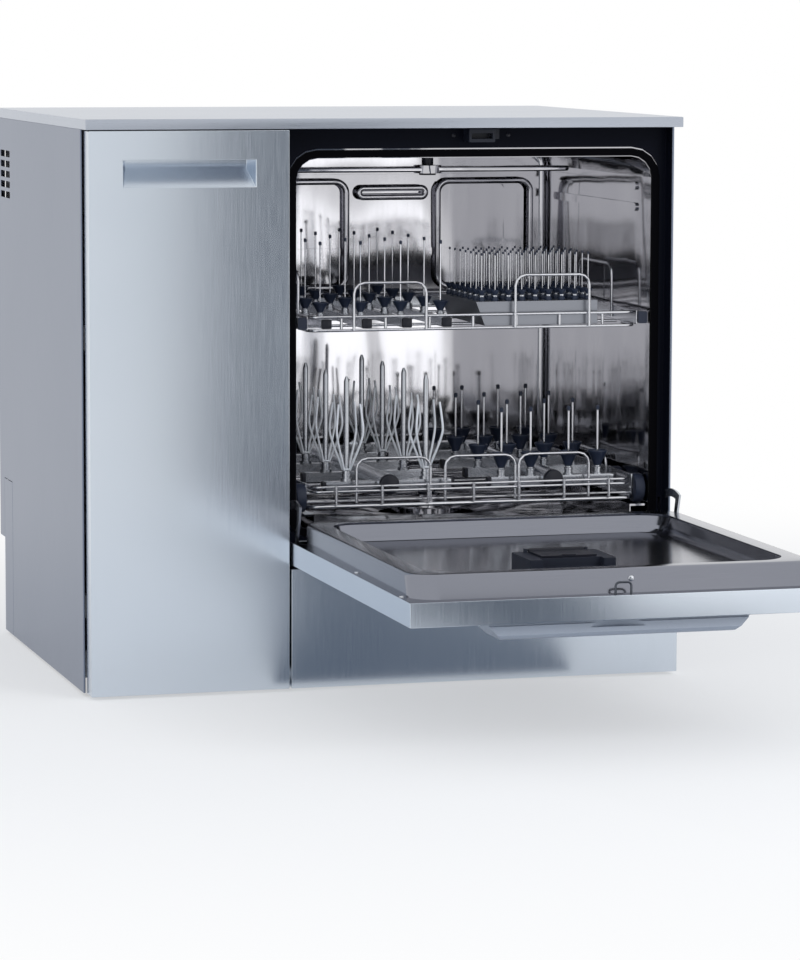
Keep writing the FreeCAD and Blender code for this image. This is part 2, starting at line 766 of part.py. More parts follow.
up_front = front + basket_front
up_back = up_front + upper_len
rail_x = tub_w / 2 - 17
rail_z = upper_z + 1
rail_mid = rail_z + rail_h / 2
cap_back = 2.0


def runner_channels():
    # A rolled channel on each chamber wall, open towards the basket
    x0, x1 = wash_x - tub_w / 2, wash_x - tub_w / 2 + 13
    z0, z1 = rail_mid - 8, rail_mid + 8
    y0, y1 = up_front + cap_back + 1, front + tub_back - 30
    bar = box(x0, y0, z0, x1, y1, z1).cut(box(x0 + 1.5, y0 - 1, z0 + 1.5, x1 + 1, y1 + 1, z1 - 1.5))
    return both(bar, wash_x)


def upper_side_rails():
    # A flat side plate with the sliding member that runs in the channel
    x1 = wash_x - rail_x
    plate = box(x1, up_front, rail_z, x1 + 2, up_back, rail_z + rail_h)
    slider = box(x1 - 14, up_front + cap_back, rail_mid - 6.2, x1, up_back - 4, rail_mid + 6.2)
    slider = slider.cut(box(x1 - 12.5, up_front + 1, rail_mid - 4.7, x1 + 1, up_back, rail_mid + 4.7))
    return both(plate.fuse(slider), wash_x)


def rail_end_caps():
    x1 = wash_x - rail_x
    cap = rounded_bar("y", x1 - 14, rail_mid - 9, x1, rail_mid + 9, 2, up_front - 5, up_front)
    plug = box(x1 - 12.2, up_front - 1, rail_mid - 4.4, x1, up_front + cap_back, rail_mid + 4.4)
    return both(cap.fuse(plug), wash_x)


def upper_basket_frame():
    # Welded wires: two front wires, back wires, cross wires under the tubes, posts and hoops
    half = rail_x - 2 - wire_r
    x0, x1 = wash_x - half, wash_x + half
    low, high = upper_z, rail_z + rail_h - wire_r
    y0, y1 = up_front, up_back - wire_r
    out = [bent([V(x0, up_front + 60, z), V(x0, y0, z), V(x1, y0, z), V(x1, up_front + 60, z)], wire_r, 14)
           for z in (low, high)]
    inner = x0 - wire_r
    out += [wire(V(inner, y, low), V(2 * wash_x - inner, y, low), wire_r)
            for y in [up_front + 90, up_front + 210, up_front + 330, y1 - 30]]
    out += [wire(V(inner, y1, high), V(2 * wash_x - inner, y1, high), wire_r)]
    for i in range(7):
        x = x0 + 50 + i * (x1 - x0 - 100) / 6
        out.append(wire(V(x, y0 + 2 * wire_r, low - 2), V(x, y0 + 2 * wire_r, high + 2), wire_r))
    for a, b, rise in ((-186, -75, 58), (63, 179, 66)):
        out.append(hoop(V(wash_x + a, y0 - 2 * wire_r, low), V(wash_x + b, y0 - 2 * wire_r, low), rise + 12,
                        wire_r, 16))
    for x, a, b in ((x0, 45, 236), (x1, 88, 242)):
        out.append(hoop(V(x, up_front + a + 20, rail_z + 4), V(x, up_front + b + 20, rail_z + 4), 80, wire_r, 18))
    return out


def tube_places():
    return [wash_x - rail_x + 32 + i * tube_pitch for i in range(4)]


collector_y = up_back - 30.0


def upper_injector_tubes():
    # Four square tubes, the collector behind them, its spigot, and a plug in each open end
    h = tube_w / 2
    out = []
    for x in tube_places():
        tube = box(x - h, up_front + 8, tube_z - h, x + h, collector_y - h, tube_z + h)
        out.append(tube.cut(box(x - h + 1.2, up_front + 7, tube_z - h + 1.2, x + h - 1.2,
                                collector_y - h + 1, tube_z + h - 1.2)))
        head = rounded_bar("y", x - h - 0.6, tube_z - h + 0.1, x + h + 0.6, tube_z + h + 0.6, 1.5,
                           up_front + 3, up_front + 8)
        shank = box(x - h + 1.3, up_front + 8, tube_z - h + 1.3, x + h - 1.3, up_front + 16, tube_z + h - 1.3)
        out.append(head.fuse(shank))
    collector = box(tube_places()[0] - h, collector_y - h, tube_z - h, wash_x + 110, collector_y + h, tube_z + h)
    dock_x = wash_x + upper_dock_x
    spigot = faceted(V(dock_x, collector_y, tube_z), V(dock_x, front + tub_back - 6, tube_z), 8.5, 16)
    out.append(collector.fuse(spigot))
    return out


def nozzle_rows(count, y0, y1):
    return [y0 + (y1 - y0) * i / (count - 1) for i in range(count)]


def upper_nozzles():
    # Socket, flared guide cone, thin spray rod and its tip, one solid for each place
    z = tube_z + tube_w / 2
    profile = [(7, z), (7, z + 8), (5, z + 8), (12.5, z + 24), (1.2, z + 24), (1.2, z + 108),
               (2.4, z + 108), (2.0, z + 114)]
    places = [(x, y) for x in tube_places() for y in nozzle_rows(5, up_front + 40, up_back - 90)]
    return copies(turned(profile, 0, 0, 6), places)


module_x1 = rail_x - 61
module_x0 = module_x1 - tub_w / 2 + 83
module_len = 190.0
module_h = 36.0
module_columns, module_rows = 9, 7


def module_box():
    # A closed tray with a sloping left side and a feed tube from the collector
    z0 = upper_z + wire_r + 0.1
    x0, x1 = wash_x + module_x0, wash_x + module_x1
    y0 = up_front + 3 * wire_r + 0.4
    body = prism("y", [(x0 + 14, z0), (x1, z0), (x1, z0 + module_h), (x0, z0 + module_h)], y0, y0 + module_len)
    feed = box(x0 + 60, y0 + module_len, tube_z - 6, x0 + 72, collector_y - tube_w / 2, tube_z + 6)
    inner = prism("y", [(x0 + 15.5, z0 + 1.2), (x1 - 1.2, z0 + 1.2), (x1 - 1.2, z0 + module_h - 1.2),
                        (x0 + 2, z0 + module_h - 1.2)], y0 + 1.2, y0 + module_len - 1.2)
    feed_bore = box(x0 + 61.2, y0 + module_len - 3, tube_z - 4.8, x0 + 70.8, collector_y, tube_z + 4.8)
    return body.cut(inner).fuse(feed).cut(feed_bore)


def module_nozzles():
    z = upper_z + wire_r + 0.1 + module_h
    profile = [(5.5, z), (7.5, z + 14), (1.0, z + 14), (1.0, z + 72)]
    x0, x1 = wash_x + module_x0 + 12, wash_x + module_x1 - 12
    y0, y1 = up_front + 18, up_front + module_len - 6
    places = [(x, y) for x in nozzle_rows(module_columns, x0, x1) for y in nozzle_rows(module_rows, y0, y1)]
    return copies(turned(profile, 0, 0, 5), places)


# Lower basket, drawn at home in the chamber

low_front = front + basket_front
low_back = low_front + lower_len
wheel_z = ledge_z + seat + wheel_r
first_wheel = low_front + 18
plate_x = tub_w / 2 - wheel_side - wheel_w - 1.5
frame_z = ledge_z + 9.5
pipe_z = frame_z + 30
bar_z = pipe_z - 2
bar_half = pipe_offset - 34
wheel_sides = 20


def wheel_places():
    offsets = [0, wheel_pitch, wheel_base - wheel_pitch, wheel_base]
    return [(side, first_wheel + o) for side in (-1, 1) for o in offsets]


def lower_side_plates():
    # A stainless plate each side with four riveted axles
    x1 = wash_x - plate_x
    plate = box(x1, low_front + 12, frame_z + 3.2, x1 + 2, low_back - 30, pipe_z + 4)
    for y in (first_wheel + wheel_pitch + 50, first_wheel + 200, first_wheel + 260):
        plate = plate.cut(faceted(V(x1 - 1, y, pipe_z - 8), V(x1 + 3, y, pipe_z - 8), 3, 8))
    out = []
    for shape, side in zip(both(plate, wash_x), (-1, 1)):
        for s, y in wheel_places():
            if s == side:
                x = wash_x + side * plate_x
                shape = shape.fuse([rod(V(x - side * 3, y, wheel_z), V(x + side * (wheel_w + 2.6), y, wheel_z),
                                        axle_r)])
        out.append(shape)
    return out


def wheel(side, y):
    # A tyre with chamfered rims and a dished outer face, bored for its axle
    base = V(wash_x + side * (plate_x + 1.0), y, wheel_z)
    profile = [(wheel_r - 1.2, 0), (wheel_r, 1.2), (wheel_r, wheel_w - 1.2), (wheel_r - 1.2, wheel_w),
               (9.5, wheel_w), (8.5, wheel_w - 2)]
    tyre = spun(profile, base, X * side, wheel_sides)
    return tyre.cut(rod(base - X * side, base + X * (side * (wheel_w + 1)), axle_r + fit))


butt_gap = 0.2


def lower_basket_frame():
    # Welded wires: a heavy base ring, cross wires, two raised front wires, posts and hoops
    half = plate_x - thick_r - 0.05
    x0, x1 = wash_x - half, wash_x + half
    y0, y1 = low_front, low_back
    r = thick_r
    ring = [bent([V(wash_x - butt_gap, y0, frame_z), V(x0, y0, frame_z), V(x0, y1, frame_z),
                  V(x1, y1, frame_z), V(x1, y0, frame_z), V(wash_x + butt_gap, y0, frame_z)], r, 16)]
    cross_z = frame_z + r + wire_r
    across = [wire(V(x0 - 1, y, cross_z), V(x1 + 1, y, cross_z), wire_r)
              for y in nozzle_rows(5, y0 + 25, y1 - 25)]
    high = pipe_z - 1
    inset = 6.0
    fronts = [bent([V(x0 + inset, y0 + 60, z), V(x0 + inset, y0, z), V(x1 - inset, y0, z),
                    V(x1 - inset, y0 + 60, z)], wire_r, 14) for z in (high - 7, high)]
    posts = []
    for i in range(7):
        x = x0 + 40 + i * (x1 - x0 - 80) / 6
        y = y0 - 2 * wire_r
        posts.append(wire(V(x, y, frame_z + r + 0.5), V(x, y, high + 2), wire_r))
    hoops = [hoop(V(wash_x + a, y0 + 2 * wire_r, frame_z + r + 1), V(wash_x + b, y0 + 2 * wire_r, frame_z + r + 1),
                  66, wire_r, 16) for a, b in ((-179, -65), (-42, 67), (73, 183))]
    sides = [hoop(V(x, y0 + 120, frame_z + r), V(x, y0 + 300, frame_z + r), 50, wire_r, 16)
             for x in (x0 + 2, x1 - 2)]
    return ring + across + fronts + posts + hoops + sides


def pipe_places():
    return [wash_x - pipe_offset, wash_x + pipe_offset]


cap_len = 8.0
pipe_sides = 16


def manifold_pipes():
    # Two round pipes with caps and welded feet, and the rear collector with its spigot
    y0, y1 = low_front + wire_r + cap_len, low_back - 40
    saddle_z = frame_z + thick_r + 2 * wire_r
    out = []
    for x in pipe_places():
        pipe = faceted(V(x, y0, pipe_z), V(x, y1, pipe_z), pipe_r, pipe_sides)
        feet = [box(x - 8, y - 6, saddle_z, x + 8, y + 6, pipe_z - 8)
                for y in (low_front + 25 + (lower_len - 50) / 4, low_front + 25 + 3 * (lower_len - 50) / 4)]
        bore = faceted(V(x, y0 - 1, pipe_z), V(x, y1 + 1, pipe_z), pipe_r - 1.2, pipe_sides)
        out.append(pipe.fuse(feet).cut(bore))
        profile = [(pipe_r - 1.5, 0), (pipe_r, 1.5), (pipe_r, cap_len), (pipe_r - 1.3, cap_len), (pipe_r - 1.3, cap_len + 6)]
        out.append(spun(profile, V(x, y0 - cap_len, pipe_z), Y, pipe_sides))
    collector = box(pipe_places()[0] - pipe_r, y1, pipe_z - 13, pipe_places()[1] + pipe_r, y1 + 26, pipe_z + 13)
    dock = wash_x + lower_dock_x
    spigot = faceted(V(dock, y1 + 20, pipe_z - 1), V(dock, front + tub_back - 6, pipe_z - 1), 20, 20)
    out.append(collector.fuse(spigot))
    return out


def bar_places():
    return [low_front + bar_first + i * bar_pitch for i in range(4)]


def injector_bars():
    # Square bars across each pipe, in two stubs that are welded to its sides, with plugged ends
    h = bar_h / 2
    out = []
    for px in pipe_places():
        pipe = faceted(V(px, low_front, pipe_z), V(px, low_back, pipe_z), pipe_r, pipe_sides)
        for y in bar_places():
            bar = box(px - bar_half, y - h, bar_z - h, px + bar_half, y + h, bar_z + h)
            out += bar.cut(pipe).Solids
            for side in (-1, 1):
                a, b = sorted((px + side * bar_half, px + side * (bar_half + 5)))
                out.append(rounded_bar("x", y - h, bar_z - h, y + h, bar_z + h, 1.5, a, b))
    return out


nozzle_reach = pipe_offset / 2 - 2
tall_pipe = 150.0


def bottle_places():
    return [(pipe_places()[0] + side * nozzle_reach, y) for y in bar_places() for side in (-1, 1)]


def bottle_nozzles():
    z = bar_z + bar_h / 2
    profile = [(9, z), (9, z + 5), (6.5, z + 5), (6.5, z + 16), (4, z + 16), (4, z + tall_pipe), (1.8, z + tall_pipe + 6)]
    return copies(turned(profile, 0, 0, 8), bottle_places())


clip_t = 1.5


def bottle_supports():
    # A clip ring and four splayed plastic legs round each tall nozzle
    z = bar_z + bar_h / 2 + 16.2
    ring = turned([(8.5, z - 0.15), (8.5, z + clip_t)], 0, 0, 8)
    one = [ring.cut(turned([(4.2, z - 1), (4.2, z + clip_t + 1)], 0, 0, 8))]
    turn = [2 * math.pi * i / 5 for i in range(5)]
    for a, b in ((1, 1), (1, -1), (-1, -1), (-1, 1)):
        one.append(skin([[V(a * reach + 2 * math.cos(t), b * reach + 2 * math.sin(t), level) for t in turn]
                         for reach, level in ((5.6, z + clip_t), (21.0, z + 58), (17.0, z + 104))]))
    return [solid for piece in one for solid in copies(piece, bottle_places())]


def short_nozzles():
    z = bar_z + bar_h / 2
    profile = [(8, z), (8, z + 12), (6, z + 12), (15, z + 34), (13, z + 36), (2, z + 36), (2, z + 96),
               (3, z + 96), (2.4, z + 104)]
    outer, inner = bar_half - 18, 0.32 * bar_half
    places = [(pipe_places()[1] + dx, y) for y in bar_places() for dx in (-outer, -inner, inner, outer)]
    return copies(turned(profile, 0, 0, 6), places)


# Spray arms, sump and ports

arm_len = tub_w / 2 - 46
low_arm_z = tub_floor + 8
top_arm_z = tub_top - 27
sump_y = front + (tub_front + tub_back) / 2
sump_sides = 24


def spray_arm(z, up):
    # A two-winged hollow arm with slots, on a hub with a running bore
    wing = skin([[V(a, b, z + dz) for a, b in rounded_points(wash_x - arm_len + d, sump_y - 17 + d,
                                                            wash_x + arm_len - d, sump_y + 17 - d, 16 - d)]
                 for d, dz in ((2, -4), (0, -2), (0, 2), (2, 4))])
    hub = turned([(22, z - 6), (22, z + 6)], wash_x, sump_y, sump_sides)
    arm = wing.fuse(hub)
    for i in range(4):
        for side in (-1, 1):
            x = wash_x + side * (60 + 45 * i)
            arm = arm.cut(box(x - 8, sump_y - 1.5, z - 1 if up else z - 9, x + 8, sump_y + 1.5,
                              z + 9 if up else z + 1))
    return arm.cut(rod(V(wash_x, sump_y, z - 20), V(wash_x, sump_y, z + 20), 9 + fit))


def spindles():
    # The water spindles that carry the two arms, each with a retaining collar
    def collar(z0, z1):
        return turned([(13, z0), (13, z1)], wash_x, sump_y, sump_sides)
    low = rod(V(wash_x, sump_y, sump_bottom), V(wash_x, sump_y, low_arm_z + 8), 9)
    low = low.fuse([collar(low_arm_z + 6.3, low_arm_z + 9), collar(tub_floor + 0.4, low_arm_z - 6.3)])
    high = rod(V(wash_x, sump_y, top_arm_z - 9), V(wash_x, sump_y, tub_top), 9)
    return [low, high.fuse(collar(top_arm_z - 9, top_arm_z - 6.3))]


def sump_filter():
    # A perforated plate over the sump with the coarse basket below it
    z = tub_floor + 0.2
    plate = turned([(sump_r - 1, z - 2), (sump_r - 1, z)], wash_x, sump_y, sump_sides)
    cup = turned([(sump_r - 20, sump_bottom), (sump_r - 20, z - 2)], wash_x, sump_y, sump_sides)
    inside = turned([(sump_r - 22, sump_bottom + 2), (sump_r - 22, z - 2)], wash_x, sump_y, sump_sides)
    shape = plate.fuse(cup).cut(inside).cut(turned([(9.5, 0), (9.5, z + 5)], wash_x, sump_y, sump_sides))
    for i in range(12):
        t = math.pi / 6 * i
        x, y = wash_x + 40 * math.cos(t), sump_y + 40 * math.sin(t)
        shape = shape.cut(turned([(5, z - 3), (5, z + 1)], x, y, 8))
    return shape


floor_z = foot_h + 2


def pumps():
    # The circulation pump beside the sump and the small drain pump in front of it
    z = floor_z + 52
    y = sump_y
    low = sump_bottom + 25
    motor = faceted(V(wash_x + 118, y, z), V(wash_x + 235, y, z), 46, 20)
    volute = faceted(V(wash_x + 88, y, z), V(wash_x + 118, y, z), 50, 20)
    suction = faceted(V(wash_x + 70, y, low), V(wash_x + 100, y, low), 15, 12)
    riser = faceted(V(wash_x + 100, y, z), V(wash_x + 100, y, low), 15, 12)
    feet = [box(wash_x + 130 + i * 70, y - 30, floor_z, wash_x + 145 + i * 70, y + 30, z) for i in (0, 1)]
    pot = turned([(sump_r + tub_t + 0.1, sump_bottom - 3), (sump_r + tub_t + 0.1, tub_floor)], wash_x, y, sump_sides)
    main = motor.fuse([volute, suction, riser] + feet).cut(pot)
    z2 = floor_z + 34
    drain = faceted(V(wash_x - 190, y, z2), V(wash_x - 110, y, z2), 28, 20)
    foot = box(wash_x - 170, y - 20, floor_z, wash_x - 140, y + 20, z2)
    spout = faceted(V(wash_x - 120, y, z2), V(wash_x - 120, y, z2 + 70), 12, 12)
    neck = faceted(V(wash_x - 120, y, z2 + 68), V(wash_x - 60, y, z2 + 68), 12, 12)
    return [main, drain.fuse([foot, spout, neck]).cut(pot)]


def drying_unit():
    # Filter box, blower scroll and air heater tube in one line on the base
    x0, y0 = right - 240, front + depth - recess_depth - 150
    case = rounded_bar("z", x0, y0, x0 + 90, y0 + 110, 6, floor_z, floor_z + 120)
    y, z = y0 + 55, floor_z + 60
    scroll = faceted(V(x0 + 90, y, z), V(x0 + 140, y, z), 52, 20)
    heater = faceted(V(x0 + 140, y, z), V(x0 + 220, y, z), 32, 16)
    foot = box(x0 + 150, y0 + 35, floor_z, x0 + 200, y0 + 75, floor_z + 60)
    return case.fuse([scroll, heater, foot])


def steam_condenser():
    y1 = front + depth - sheet
    x0, z0, z1 = right - 240, top - 490, top - 120
    stub_z = z1 - 60
    tank = rounded_bar("y", x0, z0, x0 + 190, z1, 14, y1 - 70, y1)
    stub = faceted(V(x0 + 60, front + tub_back + tub_t, stub_z), V(x0 + 60, y1 - 60, stub_z), 22, 20)
    inner = rounded_bar("y", x0 + 3, z0 + 3, x0 + 187, z1 - 3, 11, y1 - 67, y1 - 3)
    bore = faceted(V(x0 + 60, front + tub_back, stub_z), V(x0 + 60, y1 - 60, stub_z), 19, 20)
    return tank.fuse(stub).cut(inner).cut(bore)


def electronics_box():
    y0 = front + side_setback + 22
    x0 = right - 230
    box_case = rounded_bar("z", x0, y0, x0 + 200, y0 + 70, 4, floor_z, floor_z + 110)
    ribs = [box(x0 + 10 + i * 20, y0 + 70, floor_z + 10, x0 + 13 + i * 20, y0 + 76, floor_z + 100)
            for i in range(9)]
    return box_case.fuse(ribs)


# Drawer section

drawer_x0, drawer_x1 = left + sheet + 12.0, split - 12.0
slide_h = 36.0
slide_levels = (130.0, 520.0)
slide_y0, slide_y1 = front + side_setback + 20, front + depth - 100
carriage_back = front + depth - 140
tray_levels = (84.0, 430.0)
post_top = 620.0


grip_half, grip_deep = 97.5, 24.0


def drawer_front():
    # A folded pan with a pressed grip recess: sharp upper edge, sloping floor and slanted ends
    x0, x1 = left + 4.0, split - front_gap / 2
    y0, z0, z1 = front, floor_gap, door_high
    pan = box(x0, y0, z0, x1, y0 + front_t, z1)
    pan = pan.cut(box(x0 + sheet, y0 + sheet, z0 + sheet, x1 - sheet, y0 + front_t + 1, z1 - sheet))
    xm, half, g0, g1, deep = (x0 + x1) / 2, grip_half, door_high - 80, door_high - 42, grip_deep
    cup = prism("x", [(y0 - 1, g0), (y0 - 1, g1), (y0 + deep, g1), (y0 + deep, g1 - 14), (y0 + 1, g0)],
                xm - half, xm + half)
    case = prism("x", [(y0, g0 - 2), (y0, g1 + sheet), (y0 + deep + sheet, g1 + sheet),
                       (y0 + deep + sheet, g1 - 15), (y0 + 1, g0 - 2)], xm - half - sheet, xm + half + sheet)
    for side in (-1, 1):
        end = xm + side * half
        trim = prism("z", [(end + side * 4, y0 - 2), (end, y0 - 0.5), (end - side * 8, y0 + deep + 1),
                           (end + side * 4, y0 + deep + 1)], g0 - 1, g1 + 1)
        cup = cup.cut(trim)
    return pan.fuse(case).cut(cup)


def drawer_carriage():
    # Two trays on four posts, with the sliding members on its sides and the front's fixing rails
    x0, x1 = drawer_x0, drawer_x1
    y0, y1 = front + front_t, carriage_back
    parts = []
    for z, h in zip(tray_levels, (60.0, 50.0)):
        tray = box(x0, y0 + 12, z, x1, y1, z + h)
        parts.append(tray.cut(box(x0 + 1.5, y0 + 13.5, z + 1.5, x1 - 1.5, y1 - 1.5, z + h + 1)))
    z0 = tray_levels[0]
    posts = [box(x, y, z0, x + 14, y + 14, post_top) for x in (x0, x1 - 14) for y in (y0 + 12, y1 - 14)]
    fixing = [box(x, front + sheet, z0 + 16, x + 14, y0 + 12, post_top) for x in (x0, x1 - 14)]
    members = []
    for level in slide_levels:
        for a, b in ((x0 - 9.6, x0), (x1, x1 + 9.6)):
            members.append(box(a, y0 + 20, level - slide_h / 2 + 2, b, y1, level + slide_h / 2 - 2))
    side_bars = [box(x, y0 + 12, slide_levels[1] - 10, x + 3, y1, slide_levels[1] + 10) for x in (x0, x1 - 3)]
    return parts[0].fuse(parts[1:] + posts + fixing + members + side_bars)


def drawer_slides():
    out = []
    for level in slide_levels:
        z0, z1 = level - slide_h / 2, level + slide_h / 2
        for web, mouth in ((left + sheet, drawer_x0 - 0.3), (split - sheet / 2, drawer_x1 + 0.3)):
            a, b = sorted((web, mouth))
            rail = box(a, slide_y0, z0, b, slide_y1, z1)
            inner = (a + 1, b + 1) if web < mouth else (a - 1, b - 1)
            out.append(rail.cut(box(inner[0], slide_y0 - 1, z0 + 1.7, inner[1], slide_y1 + 1, z1 - 1.7)))
    return out


canister_h, canister_w = 210.0, 200.0


def canister_ring(x0, y0, z, length, inset, r):
    points = rounded_points(x0 + inset, y0 + inset, x0 + canister_w - inset, y0 + length - inset, r)
    return [V(a, b, z) for a, b in points]


def canisters():
    # Four process-chemical containers with screw caps
    pitch = (carriage_back - front - front_t - 57) / 2
    length, h = pitch - 45, canister_h
    out = []
    for z in (level + 1.5 for level in tray_levels):
        for i in range(2):
            x0, y0 = drawer_x0 + 34, front + front_t + 60 + i * pitch
            outer = [(0, 0), (0, h - 12), (4, h - 4), (12, h)]
            body = skin([canister_ring(x0, y0, z + up, length, inset, 24 - inset) for inset, up in outer])
            inner = skin([canister_ring(x0, y0, z + up, length, 2.5, 21) for up in (2.5, h - 14)])
            x, y = x0 + 60, y0 + length / 2
            neck = turned([(24, z + h - 5), (24, z + h + 12)], x, y, 20)
            bore = turned([(21, z + h - 40), (21, z + h + 20)], x, y, 20)
            cap = turned([(29, z + h + 12), (29, z + h + 34), (27, z + h + 36)], x, y, 20)
            out += [body.fuse(neck).cut(inner).cut(bore), cap]
    return out


os.makedirs("parts", exist_ok=True)
put("base_frame", base_frame())
put("levelling_feet", levelling_feet())
put("left_side_panel", vented(side_panel()).cut(access_cover_cut()))
put("right_side_panel", mirror_x(side_panel(), 0))
put("connection_panel", connection_panel())
put("water_fittings", water_fittings())
put("rear_panel", rear_panel())
put("worktop", worktop())
put("partition", partition())
put("wash_chamber", wash_chamber())
put("water_ports", docking_ports() + spindles())
put("door_seal", door_seal())
put("front_frame", front_frame())
put("service_panel", service_panel())
put("latch_housing", latch_housing())
put("hinge_brackets", hinge_brackets())
put("runner_channels", runner_channels())
put("sump_filter", sump_filter())
put("pumps", pumps())
put("drying_unit", drying_unit())
put("steam_condenser", steam_condenser())
put("electronics_box", electronics_box())
put("drawer_slides", drawer_slides())
put("door_panel", door_panel())
put("door_liner", door_liner())
put("control_fascia", control_fascia())
put("display_window", display_window())
put("power_button", button(1))
put("start_button", button(2))
put("door_striker", door_striker())
put("hinge_arms", hinge_arms())
put("dispenser_housing", dispenser_housing())
put("dispenser_lid", dispenser_lid())
put("upper_basket_frame", upper_basket_frame())
put("upper_side_rails", upper_side_rails())
put("rail_end_caps", rail_end_caps())
put("upper_injector_tubes", upper_injector_tubes())
put("upper_nozzles", upper_nozzles())
put("module_box", module_box())
put("module_nozzles", module_nozzles())
put("top_spray_arm", spray_arm(top_arm_z, False))
put("bottom_spray_arm", spray_arm(low_arm_z, True))
put("lower_basket_frame", lower_basket_frame())
put("lower_side_plates", lower_side_plates())
put("manifold_pipes", manifold_pipes())
put("injector_bars", injector_bars())
put("bottle_nozzles", bottle_nozzles())
put("bottle_supports", bottle_supports())
put("short_nozzles", short_nozzles())
for number, (side, y) in enumerate(wheel_places()):
    name = ("left", "right")[side > 0] + "_wheel_" + str(number % 4 + 1)
    put(name, wheel(side, y))
put("drawer_front", drawer_front())
put("drawer_carriage", drawer_carriage())
put("canisters", canisters())
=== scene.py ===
import json
import math

import bpy
from mathutils import Matrix, Vector


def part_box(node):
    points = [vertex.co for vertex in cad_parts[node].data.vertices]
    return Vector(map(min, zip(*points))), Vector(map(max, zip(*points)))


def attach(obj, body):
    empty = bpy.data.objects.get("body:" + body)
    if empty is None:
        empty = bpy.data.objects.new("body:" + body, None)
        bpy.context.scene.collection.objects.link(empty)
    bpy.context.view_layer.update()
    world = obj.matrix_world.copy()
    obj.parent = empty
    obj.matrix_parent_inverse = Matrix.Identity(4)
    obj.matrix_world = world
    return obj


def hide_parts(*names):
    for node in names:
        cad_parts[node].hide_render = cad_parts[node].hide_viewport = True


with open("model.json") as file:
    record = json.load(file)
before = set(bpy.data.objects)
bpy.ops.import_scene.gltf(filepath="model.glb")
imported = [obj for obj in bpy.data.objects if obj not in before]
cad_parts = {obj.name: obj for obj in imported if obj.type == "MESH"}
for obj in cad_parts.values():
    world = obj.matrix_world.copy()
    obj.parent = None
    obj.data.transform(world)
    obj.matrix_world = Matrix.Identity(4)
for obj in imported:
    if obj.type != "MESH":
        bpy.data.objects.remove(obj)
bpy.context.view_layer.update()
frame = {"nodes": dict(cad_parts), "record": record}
nodes = frame["nodes"]
slot_of = {row["node"]: row["material_slot"] for row in frame["record"]["subparts"]}
body_of = {n: b for b, members in frame["record"]["behaviour"]["bodies"].items() for n in members}
MM = 0.001


# Materials

def new_material(name):
    mat = bpy.data.materials.new(name)
    mat.use_nodes = True
    tree = mat.node_tree
    return mat, tree, tree.nodes["Principled BSDF"]


def node(tree, kind, **values):
    # A value goes to the input of its name, or else to the node's own setting
    made = tree.nodes.new(kind)
    for key, value in values.items():
        if key in made.inputs:
            made.inputs[key].default_value = value
        else:
            setattr(made, key, value)
    return made


def stretched_noise(tree, stretch, scale, detail=4.0):
    coords = node(tree, "ShaderNodeTexCoord")
    mapping = node(tree, "ShaderNodeMapping")
    mapping.inputs["Scale"].default_value = stretch
    noise = node(tree, "ShaderNodeTexNoise", Scale=scale, Detail=detail, Roughness=0.6)
    tree.links.new(coords.outputs["Object"], mapping.inputs["Vector"])
    tree.links.new(mapping.outputs["Vector"], noise.inputs["Vector"])
    return noise.outputs["Fac"]


def ramp(tree, source, low, high):
    made = node(tree, "ShaderNodeValToRGB")
    stops = ((0.3, low), (0.7, high))
    for element, (position, colour) in zip(made.color_ramp.elements, stops):
        element.position = position
        element.color = (*colour, 1)
    tree.links.new(source, made.inputs["Fac"])
    return made.outputs["Color"]


def scaled(tree, source, low, high):
    made = node(tree, "ShaderNodeMapRange")
    made.inputs["To Min"].default_value = low
    made.inputs["To Max"].default_value = high
    tree.links.new(source, made.inputs["Value"])
    return made.outputs["Result"]


def bump(tree, source, strength, distance, under=None):
    made = node(tree, "ShaderNodeBump", Strength=strength, Distance=distance)
    tree.links.new(source, made.inputs["Height"])
    if under:
        tree.links.new(under, made.inputs["Normal"])
    return made.outputs["Normal"]


def shade(colour, factor):
    return tuple(min(1.0, c * factor) for c in colour)


def vary(tree, shader, source, rough, less=0.04, more=0.06):
    # The roughness wanders a little around its value
    tree.links.new(scaled(tree, source, rough - less, rough + more), shader.inputs["Roughness"])


def steel(name, colour, brush, rough, contrast, waves=0.0):
    # Brushed sheet: fine streaks along the brush direction, and a slow cloud under them
    mat, tree, shader = new_material(name)
    fine = stretched_noise(tree, brush, 900.0, 6.0)
    cloud = stretched_noise(tree, EVEN, 3.0, 2.0)
    streaks = ramp(tree, fine, shade(colour, 1 - contrast), shade(colour, 1 + contrast))
    slow = ramp(tree, cloud, (0.94, 0.95, 0.96), (1.0, 1.0, 1.0))
    mix = node(tree, "ShaderNodeMix", data_type="RGBA", blend_type="MULTIPLY")
    mix.inputs["Factor"].default_value = 1.0
    first_colour, second_colour, mixed_colour = mix.inputs[6], mix.inputs[7], mix.outputs[2]
    tree.links.new(streaks, first_colour)
    tree.links.new(slow, second_colour)
    tree.links.new(mixed_colour, shader.inputs["Base Color"])
    shader.inputs["Metallic"].default_value = 1.0
    vary(tree, shader, fine, rough, 0.05, 0.07)
    if waves:
        normal = bump(tree, stretched_noise(tree, (1, 1, 0.3), 9.0, 2.0), waves, 4 * MM)
    else:
        normal = bump(tree, fine, 0.008, 0.2 * MM)
    tree.links.new(normal, shader.inputs["Normal"])
    return mat


